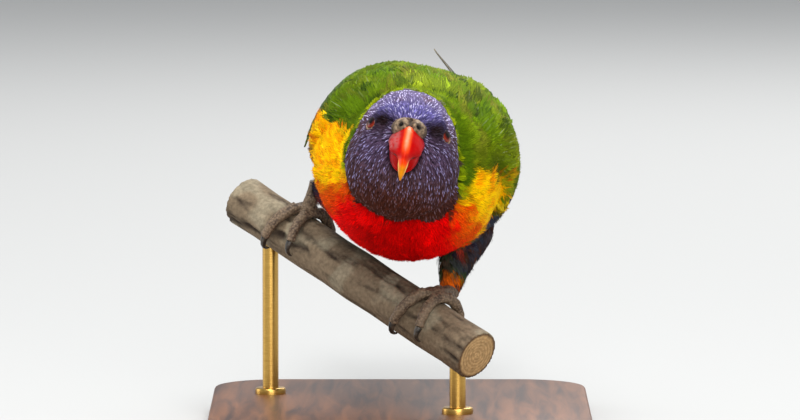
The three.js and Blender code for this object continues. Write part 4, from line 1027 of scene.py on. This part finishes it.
def bill_colour(points, lower):
    """Red horn: painted highlight along the ridge and the hook's rims, pale wear with painted sheen on one
    side, orange then yellow down the hook, painted shadow in the notches; the lower half in painted shade.
    """
    face = local_to(head_place, points)
    side, up = np.abs(face[:, 0]), face[:, 2]
    fine = rough(points, 0.9, 5)
    red = plain(BILL_RED, points)
    if lower:
        # Lower half a little darker, and darker toward its top, as painted shade under the upper half
        return over(red * 0.95, LOWER_BILL_SHADE, ease((up - 0.2) / 1.4))
    # Pale flaky wear with painted sheen, on the bird's right facet only
    wear_and_sheen = np.where(face[:, 0] < 0, 0.95, 0.05) * ease((side - 1.8) / 1.5)
    wear_and_sheen = wear_and_sheen * ease(0.8 + fine) * ease((up - 1) / 2)
    # Painted highlight along the rims of the hook
    hook_rim_highlight = ease((side - 0.62 - 0.13 * (up + 6)) / 0.35)
    face[:, 0] = side
    return layered(
        # Painted highlight along the ridge: an orange halo beside it and a pale line on it
        red, (WORN_HORN_AND_SHEEN, wear_and_sheen), (RIDGE_HIGHLIGHT_HALO, ease((1.7 - side) / 1.2) * band(up, 2, 12, 5)),
        (RIDGE_HIGHLIGHT, 0.75 * ease((0.9 - side) / 0.8) * band(up, 3.4, 12, 4)),
        (EMBER, ease((0.6 - up) / 2.4)), (HOOK, ease((-1.6 - up) / 2.4)),
        # Painted shadow in each notch
        (HOOK_RIM_HIGHLIGHT, ease((-0.6 - up) / 2) * hook_rim_highlight), (NOTCH_SHADOW, 2.6 * bump_at(face, NOTCH, 0.75)))


horn, *sockets = dyed_material("Bill horn", roughness=0.3, spot_size=420.0, low=0.8, high=1.12,
                               Specular_IOR_Level=0.1)
grained(*sockets, size=900.0, detail=5.0, strength=0.25, distance=0.0002)
for part, path, *form in BILL_HALVES:
    horn_half = ring_object(f"bill_{part}_horn", oval_rings(path, *form))
    shade_smooth(horn_half)
    set_colours(horn_half.data, bill_colour(points_of(horn_half.data), part == "lower"))
    finish_piece(horn_half, horn, [f"bill_{part}"])

# Cere
# Bare skin over the root of the bill, swollen into a mound round each nostril and parted between them
# by the root of the ridge. It is finely pebbled and of a greyish olive, with painted shade in its hollows,
# the parting, its sides and the nostrils, and a painted highlight round the rim of each mound.
CERE = np.array([
    (0, -15.5, 7.8, 3.8, 2.6), (1, -17.4, 8.3, 5.1, 3.6), (2, -19.4, 8.4, 5.6, 3.6),
    (3, -21.2, 7.8, 5.2, 3.3), (4, -22.5, 7, 4, 2.3)], float)
NOSTRIL = {"place": (2.75, -21.9, 9.7), "mound": 1.5, "hole": 0.66}
CERE_OLIVE, CERE_LIGHT, CERE_HOLLOW_SHADE = tint(88, 70, 56), tint(132, 106, 86), tint(44, 34, 24)
MOUND_SHADE, MOUND_RIM_HIGHLIGHT = tint(52, 42, 24), tint(160, 138, 108)
CERE_EDGE_SHADE, NOSTRIL_SHADE = tint(34, 26, 20), tint(16, 10, 6)


def ramped(tree, level, low, high, first, second):
    """Colour that turns from a first to a second one as a level rises from low to high."""
    ramp = node(tree, "ShaderNodeValToRGB", [("Fac", level)])
    ramp.color_ramp.elements[0].position, ramp.color_ramp.elements[1].position = low, high
    ramp.color_ramp.elements[0].color = (*first, 1)
    ramp.color_ramp.elements[1].color = (*second, 1)
    return ramp.outputs[0]


cere = ring_object("cere_skin", oval_rings(CERE, rows=24, sides=40, ridge=0, over_share=1, under_share=1))
with_modifier(cere, "REMESH", mode="VOXEL", voxel_size=0.14 * MM)
with_modifier(cere, "SMOOTH", factor=0.5, iterations=6)
at = local_to(head_place, points_of(cere.data))
parting = hump(at[:, 0], 0, 1.5) * ease((-19 - at[:, 1]) / 2)
at[:, 1] += 1.5 * parting
at[:, 2] -= 0.6 * parting
near = at * (0, 1, 1) + np.abs(at) * (1, 0, 0) - NOSTRIL["place"]
gap_to = np.hypot(near[:, 0] * 1.15 + near[:, 2] * 0.35, near[:, 2]) + 0.35 * np.clip(near[:, 1] - 2.2, 0, 9)
rise = 0.75 * hump(gap_to, 0, NOSTRIL["mound"]) - 1.7 * hump(gap_to, 0, NOSTRIL["hole"])
rise += 0.12 * rough(at, 0.8, 9)
set_points(cere.data, placed(head_place, *at.T))
set_points(cere.data, points_of(cere.data) + normals_of(cere.data) * rise[:, None])
shade_smooth(cere)
spots = rough(at, 0.8, 4)
# Painted shade in the hollows, round and inside the nostrils, in the parting and at the sides
set_colours(cere.data, layered(
    plain(CERE_OLIVE, at), (CERE_LIGHT, ease(spots * 1.3 + 0.35)),
    (CERE_HOLLOW_SHADE, ease(0.2 - rise * 2 + 0.4 * spots) * 0.8), (MOUND_SHADE, 0.7 * hump(gap_to, 0, 1.15)),
    # Painted highlight round the rim of each mound
    (MOUND_RIM_HIGHLIGHT, (0.35 + 0.4 * spots) * hump(gap_to, 1.5, 0.7)),
    (CERE_EDGE_SHADE, 0.75 * hump(at[:, 0], 0, 0.8) + 0.6 * ease((np.abs(at[:, 0]) - 4) / 1.2)),
    (NOSTRIL_SHADE, hump(gap_to, 0, 0.7) * 1.8)))
cere_material, tree, shader, place = dyed_material("Cere skin", roughness=0.6, spot_size=1100.0, low=0.75,
                                                   high=1.2, Specular_IOR_Level=0.3)
pebbles = node(tree, "ShaderNodeTexVoronoi", [("Vector", place)], Scale=2000.0)
bumped(tree, shader, pebbles.outputs["Distance"], strength=0.5, distance=0.0003)
finish_piece(cere, cere_material, ["cere"])

# Eyes
# Glass eyes as in a mounted bird: a clear bulging front over a red-brown iris and a black pupil, with a
# painted shadow of the brow over the top of the iris. Each is sunk under the brow behind a narrow, beaded
# ring of lid, tan below and darkened above with painted shade from the brow.
EYE = {"place": (11.9, -11.3, 7.9), "outward": (0.76, -0.6, 0.25), "radius": 3.5, "sunk": 2.95, "gaze": 0.2,
       "pupil_deg": 15.5}
LID = {"radius": 1.9, "thick": 0.34, "forward": 2.85, "beads": 24}
IRIS, IRIS_RING, IRIS_EDGE = tint(74, 16, 9), tint(116, 38, 20), tint(40, 16, 12)
BROW_SHADOW, PUPIL, LID_TAN, LID_BROW_SHADE = tint(14, 6, 8), tint(2, 2, 3), tint(134, 110, 90), tint(30, 24, 32)
glass = dyed_material("Glass eye", roughness=0.05, spot_size=2400.0, low=0.7, high=1.25,
                      Specular_IOR_Level=0.25)[0]
lid_skin, *sockets = dyed_material("Lid skin", roughness=0.65, spot_size=1500.0, low=0.6, high=1.3,
                                   Specular_IOR_Level=0.25)
grained(*sockets, size=1500.0, detail=3.0, strength=0.4, distance=0.0002)


def turned_to(aim, points):
    """Turns points whose front is up their own z axis so that they face a direction."""
    return points @ np.array(Vector(aim).to_track_quat("Z", "Y").to_matrix()).T


for label, side_sign in (("left", 1), ("right", -1)):
    outward = unit(np.array(EYE["outward"]) * (side_sign, 1, 1))
    centre = np.array(EYE["place"]) * (side_sign, 1, 1) - outward * EYE["sunk"]
    bpy.ops.mesh.primitive_uv_sphere_add(segments=64, ring_count=96, radius=EYE["radius"] * MM)
    ball = bpy.context.object
    ball.name = f"eye_{label}_ball"
    at = points_of(ball.data)
    off_axis = np.degrees(np.arctan2(np.hypot(at[:, 0], at[:, 1]), at[:, 2]))
    at *= (1 + 0.05 * ease((42 - off_axis) / 26))[:, None]
    at = turned_to(unit(outward + (0, 0, EYE["gaze"])), at) + centre
    set_points(ball.data, placed(head_place, *at.T))
    shadow = 0.85 * ease((at[:, 2] - EYE["place"][2] - 0.3) / 1.3)
    set_colours(ball.data, layered(
        plain(IRIS, at), (IRIS_RING, ease((off_axis - 19) / 7)), (IRIS_EDGE, ease((off_axis - 32) / 5)),
        (BROW_SHADOW, shadow), (PUPIL, ease((EYE["pupil_deg"] - off_axis) / 1.8))))
    shade_smooth(ball)
    finish_piece(ball, glass, [f"eye_{label}"])
    bpy.ops.mesh.primitive_torus_add(major_segments=104, minor_segments=14, major_radius=LID["radius"] * MM,
                                     minor_radius=LID["thick"] * MM)
    lid = bpy.context.object
    lid.name = f"eye_{label}_lid"
    at = points_of(lid.data)
    beads = 1 + 0.03 * np.sin(np.arctan2(at[:, 1], at[:, 0]) * LID["beads"])
    at = turned_to(outward, at * beads[:, None] + (0, 0, LID["forward"])) + centre
    set_points(lid.data, placed(head_place, *at.T))
    # Lid tan below and darkened above with painted shade from the brow
    set_colours(lid.data, over(plain(LID_TAN, at), LID_BROW_SHADE, ease((at[:, 2] - EYE["place"][2] + 1.3) / 2)))
    shade_smooth(lid)
    finish_piece(lid, lid_skin)

# Feet
# Two toes forward and two back grip the perch. Shank and toes are bare skin under small grey scales,
# filled and dried in their pose, and end in hooked claws of dark horn.
TOES = ("front_outer", "front_inner", "back_outer", "back_inner")
SCALE_TOP, SCALE_SEAM = tint(132, 112, 90), tint(72, 58, 48)
CLAW_BLACK, CLAW_GREY = tint(20, 18, 17), tint(96, 86, 74)


def carved_copy(name, nodes, cell, grow=0.0, smooth=3):
    """Copy of some of the frame's solids, joined into one closed, evenly divided surface."""
    copies = []
    for each in nodes:
        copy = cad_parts[each].copy()
        copy.data = copy.data.copy()
        copy.parent = None
        for key in list(copy.keys()):
            del copy[key]
        bpy.context.scene.collection.objects.link(copy)
        copy.data.materials.clear()
        copies.append(copy)
    made = joined(name, copies)
    edit_all(made, bpy.ops.mesh.remove_doubles, threshold=1e-6)
    set_points(made.data, points_of(made.data) + normals_of(made.data) * grow)
    with_modifier(made, "REMESH", mode="VOXEL", voxel_size=cell * MM)
    with_modifier(made, "SMOOTH", factor=0.5, iterations=smooth)
    shade_smooth(made)
    return made


foot_skin, tree, shader = new_material("Foot scales", 0.6, Specular_IOR_Level=0.3)
place = node(tree, "ShaderNodeTexCoord").outputs["Object"]
cells = node(tree, "ShaderNodeTexVoronoi", [("Vector", place)], Scale=1300.0)
spots = node(tree, "ShaderNodeTexNoise", [("Vector", place)], Scale=260.0, Detail=4.0)
level = node(tree, "ShaderNodeMath", [(0, cells.outputs["Distance"]), (1, spots.outputs["Fac"])],
             operation="MULTIPLY")
colour = ramped(tree, level.outputs[0], 0.05, 0.45, SCALE_TOP, SCALE_SEAM)
tree.links.new(colour, shader.inputs["Base Color"])
scales = node(tree, "ShaderNodeBump", [("Height", cells.outputs["Distance"])], Strength=0.6, Distance=0.0003,
              invert=True)
tree.links.new(scales.outputs[0], shader.inputs["Normal"])


def streaked_material(name, roughness, stretch, texture, ramp, relief, **sockets):
    """Material coloured by a noise drawn out along an axis, with a fine relief of the same noise."""
    made, tree, shader = new_material(name, roughness, **sockets)
    place = node(tree, "ShaderNodeTexCoord").outputs["Object"]
    drawn_out = node(tree, "ShaderNodeMapping", [("Vector", place)])
    drawn_out.inputs["Scale"].default_value = stretch
    streaks = node(tree, "ShaderNodeTexNoise", [("Vector", drawn_out.outputs[0])], **texture).outputs["Fac"]
    tree.links.new(ramped(tree, streaks, *ramp), shader.inputs["Base Color"])
    bumped(tree, shader, streaks, *relief)
    return made


claw_horn = streaked_material(
    "Claw horn", 0.35, (1, 1, 1), {"Scale": 500.0, "Detail": 3.0},
    (0.3, 0.9, CLAW_BLACK, CLAW_GREY), (0.3, 0.0002), Specular_IOR_Level=0.5)
for label in ("left", "right"):
    nodes = [f"shank_{label}"] + [f"toe_{label}_{toe}" for toe in TOES]
    foot = carved_copy(f"foot_{label}_skin", nodes, cell=0.3, grow=0.2)
    at = points_of(foot.data)
    set_points(foot.data, at + normals_of(foot.data) * (0.06 * rough(at, 1.3, 0) - 0.12)[:, None])
    finish_piece(foot, foot_skin, nodes)
    nodes = [f"claw_{label}_{toe}" for toe in TOES]
    claws = carved_copy(f"claws_{label}_horn", nodes, cell=0.16, grow=0.12)
    finish_piece(claws, claw_horn, nodes)

# Perch
# A cut length of branch, round and slightly uneven, with grey-brown furrowed bark and two sawn ends
# that show the rings of the wood.
GRIPS = {"low": np.array((11, -15, 43.4)), "high": np.array((-30.5, 24, 67.2))}
PERCH_RADIUS = 8
BARK, FURROW, LICHEN = tint(122, 106, 86), tint(58, 48, 40), tint(150, 140, 118)
SAPWOOD, YEAR_RING, BARK_RIM = tint(196, 164, 116), tint(140, 104, 66), tint(92, 72, 54)
run = unit(GRIPS["low"] - GRIPS["high"])
perch = carved_copy("perch_bark", ["perch"], cell=0.5, smooth=1)
at = points_of(perch.data)
along = at @ run
centre = GRIPS["high"] - unit(np.array((0, 0, 1)) - run * run[2]) * PERCH_RADIUS
radial = at - centre - np.outer((at - centre) @ run, run)
off = np.linalg.norm(radial, axis=1)
sawn = (normals_of(perch.data) @ run) ** 2 > 0.6
furrow = np.array([noise.turbulence(Vector(p) / 3.2, 4, False) for p in radial + np.outer(along * 0.22, run)])
relief = np.where(sawn, 0, 0.25 - 1.5 * np.clip(furrow - 0.25, 0, 0.8))
set_points(perch.data, at + unit(radial) * relief[:, None])
bark = layered(plain(BARK, at), (FURROW, furrow * 1.5), (LICHEN, 0.6 * ease(rough(at, 8, 0) * 1.7 - 0.3)))
year_rings = 0.5 + 0.5 * np.sin(off * 5.5 + 1.4 * np.sin(np.arctan2(radial[:, 2], radial[:, 0]) * 2))
wood = layered(plain(SAPWOOD, at), (YEAR_RING, 0.6 * year_rings), (BARK_RIM, ease((off - 6.9) / 0.5)))
set_colours(perch.data, np.where(sawn[:, None], wood, bark))
bark_material, *sockets = dyed_material("Bark and sawn wood", roughness=0.85, spot_size=800.0, low=0.7,
                                        high=1.2, Specular_IOR_Level=0.2)
grained(*sockets, size=1300.0, detail=6.0, strength=0.5, distance=0.0004)
finish_piece(perch, bark_material, ["perch"])

# Stand
# A plain display stand: a flat hardwood base with rounded corners and an eased edge, waxed to a low
# shine, and two turned brass rods that hold the perch from below.
BASE = {"width": 122, "depth": 156, "height": 8, "corner": 22, "edge": 1.2}
WOOD_DARK, WOOD_LIGHT = tint(64, 36, 20), tint(128, 80, 46)
bpy.ops.mesh.primitive_cube_add(size=1, location=(0, 0, BASE["height"] / 2 * MM))
base = bpy.context.object
base.name = "stand_base_wood"
base.scale = (BASE["width"] * MM, BASE["depth"] * MM, BASE["height"] * MM)
bpy.ops.object.transform_apply(location=True, rotation=True, scale=True)


def bevel_where(made, width, segments, wanted):
    """Rounds the edges of a piece that a rule picks by their two ends."""
    select_only(made)
    bpy.ops.object.mode_set(mode="EDIT")
    bpy.ops.mesh.select_mode(type="EDGE")
    bpy.ops.mesh.select_all(action="DESELECT")
    bpy.ops.object.mode_set(mode="OBJECT")
    for edge in made.data.edges:
        edge.select = wanted(*(made.data.vertices[v].co / MM for v in edge.vertices))
    bpy.ops.object.mode_set(mode="EDIT")
    bpy.ops.mesh.bevel(offset=width * MM, segments=segments, profile=0.5)
    bpy.ops.object.mode_set(mode="OBJECT")


def smooth_between_edges(made):
    select_only(made)
    bpy.ops.object.shade_smooth_by_angle(angle=math.radians(35))


bevel_where(base, BASE["corner"], segments=16, wanted=lambda a, b: abs(a.z - b.z) > 1)
bevel_where(base, BASE["edge"], segments=4, wanted=lambda a, b: abs(a.z - b.z) < 0.01)
smooth_between_edges(base)
waxed_wood = streaked_material(
    "Waxed hardwood", 0.4, (1, 0.09, 1), {"Scale": 240.0, "Detail": 8.0, "Distortion": 0.6},
    (0.32, 0.68, WOOD_DARK, WOOD_LIGHT), (0.15, 0.0003), Specular_IOR_Level=0.4)
finish_piece(base, waxed_wood, ["stand_base"])

ROD = {"radius": 2.6, "foot": 5, "foot_height": 2, "rim": 0.8, "let_in": 0.7, "saddle": 40}
BRASS_DARK, BRASS_LIGHT = tint(168, 124, 58), tint(214, 176, 98)
brass = streaked_material(
    "Turned brass", 0.28, (1, 1, 14), {"Scale": 420.0, "Detail": 3.0},
    (0, 1, BRASS_DARK, BRASS_LIGHT), (0.1, 0.0001), Metallic=1.0)


def turned_round(name, radius, low, high, at):
    """Upright round bar between two heights."""
    bpy.ops.object.select_all(action="DESELECT")
    bpy.ops.mesh.primitive_cylinder_add(vertices=64, radius=radius * MM, depth=(high - low) * MM,
                                        location=(at[0] * MM, at[1] * MM, (low + high) / 2 * MM))
    bpy.context.object.name = name
    bpy.ops.object.transform_apply(location=True, rotation=True, scale=True)
    return bpy.context.object


for name in ("stand_rod_low", "stand_rod_high"):
    solid = points_of(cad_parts[name].data)
    at = (solid.min(0) + solid.max(0)) / 2
    rod = turned_round(f"{name}_brass", ROD["radius"], BASE["height"], solid[:, 2].max() + 1, at)
    bpy.ops.object.select_all(action="DESELECT")
    bpy.ops.mesh.primitive_cylinder_add(vertices=96, radius=(PERCH_RADIUS - ROD["let_in"]) * MM,
                                        depth=ROD["saddle"] * MM)
    saddle = bpy.context.object
    along_perch = Vector(run).to_track_quat("Z", "Y").to_matrix().to_4x4()
    saddle.matrix_world = Matrix.Translation((centre + run * ((at - centre) @ run)) * MM) @ along_perch
    with_modifier(rod, "BOOLEAN", object=saddle, operation="DIFFERENCE", solver="EXACT")
    bpy.data.objects.remove(saddle)
    top = BASE["height"] + ROD["foot_height"]
    foot = turned_round("rod_foot", ROD["foot"], BASE["height"], top, at)
    bevel_where(foot, ROD["rim"], segments=5, wanted=lambda a, b: min(a.z, b.z) > top - 0.01)
    rod = joined(f"{name}_brass", [rod, foot])
    smooth_between_edges(rod)
    finish_piece(rod, brass, [name])

# Floor, light and camera
# A plain pale floor, a broad soft light overhead with weaker ones from the front, the back and one side,
# and the camera almost level with the bird, looking at its face.
bpy.ops.mesh.primitive_plane_add(size=12, location=(0, 2, 0))
floor = bpy.context.object
floor.name = "floor"
floor_material, tree, shader = new_material("Pale floor", 0.9, Base_Color=(0.5, 0.5, 0.49, 1))
floor.data.materials.append(floor_material)

LIGHTS = (  # name, place, size, power
    ("key", (0, -0.75, 1.5), 1.1, 31), ("front", (0.2, -1.6, 0.5), 1.0, 13),
    ("rear", (0.5, 1.4, 1.3), 1.0, 20), ("side", (-1.4, 0.45, 0.35), 0.8, 5))
for name, place, size, power in LIGHTS:
    bpy.ops.object.light_add(type="AREA", location=place)
    light = bpy.context.object
    light.name = name
    light.data.size = size
    light.data.energy = power
    light.rotation_euler = (Vector((0, 0, 0.08)) - light.location).to_track_quat("-Z", "Y").to_euler()
world = bpy.data.worlds.new("Pale room")
world.use_nodes = True
world.node_tree.nodes["Background"].inputs[0].default_value = (0.93, 0.96, 1, 1)
world.node_tree.nodes["Background"].inputs[1].default_value = 0.55
bpy.context.scene.world = world

CAMERA = {"target": (0, 0, 0.071), "height_deg": 5, "distance": 2.4, "sensor": 36}
PICTURE = {"width": 800, "pixels_per_mm": 3.12}
tip = math.radians(CAMERA["height_deg"])
eye = Vector(CAMERA["target"]) + Vector((0, -math.cos(tip), math.sin(tip))) * CAMERA["distance"]
bpy.ops.object.camera_add(location=eye)
camera = bpy.context.object
camera.rotation_euler = (Vector(CAMERA["target"]) - eye).to_track_quat("-Z", "Y").to_euler()
camera.data.sensor_width = CAMERA["sensor"]
width_seen = PICTURE["width"] / PICTURE["pixels_per_mm"] * MM
camera.data.lens = CAMERA["sensor"] * CAMERA["distance"] / width_seen
camera.data.clip_end = 50
bpy.context.scene.camera = camera
bpy.context.scene.view_settings.view_transform = "Standard"
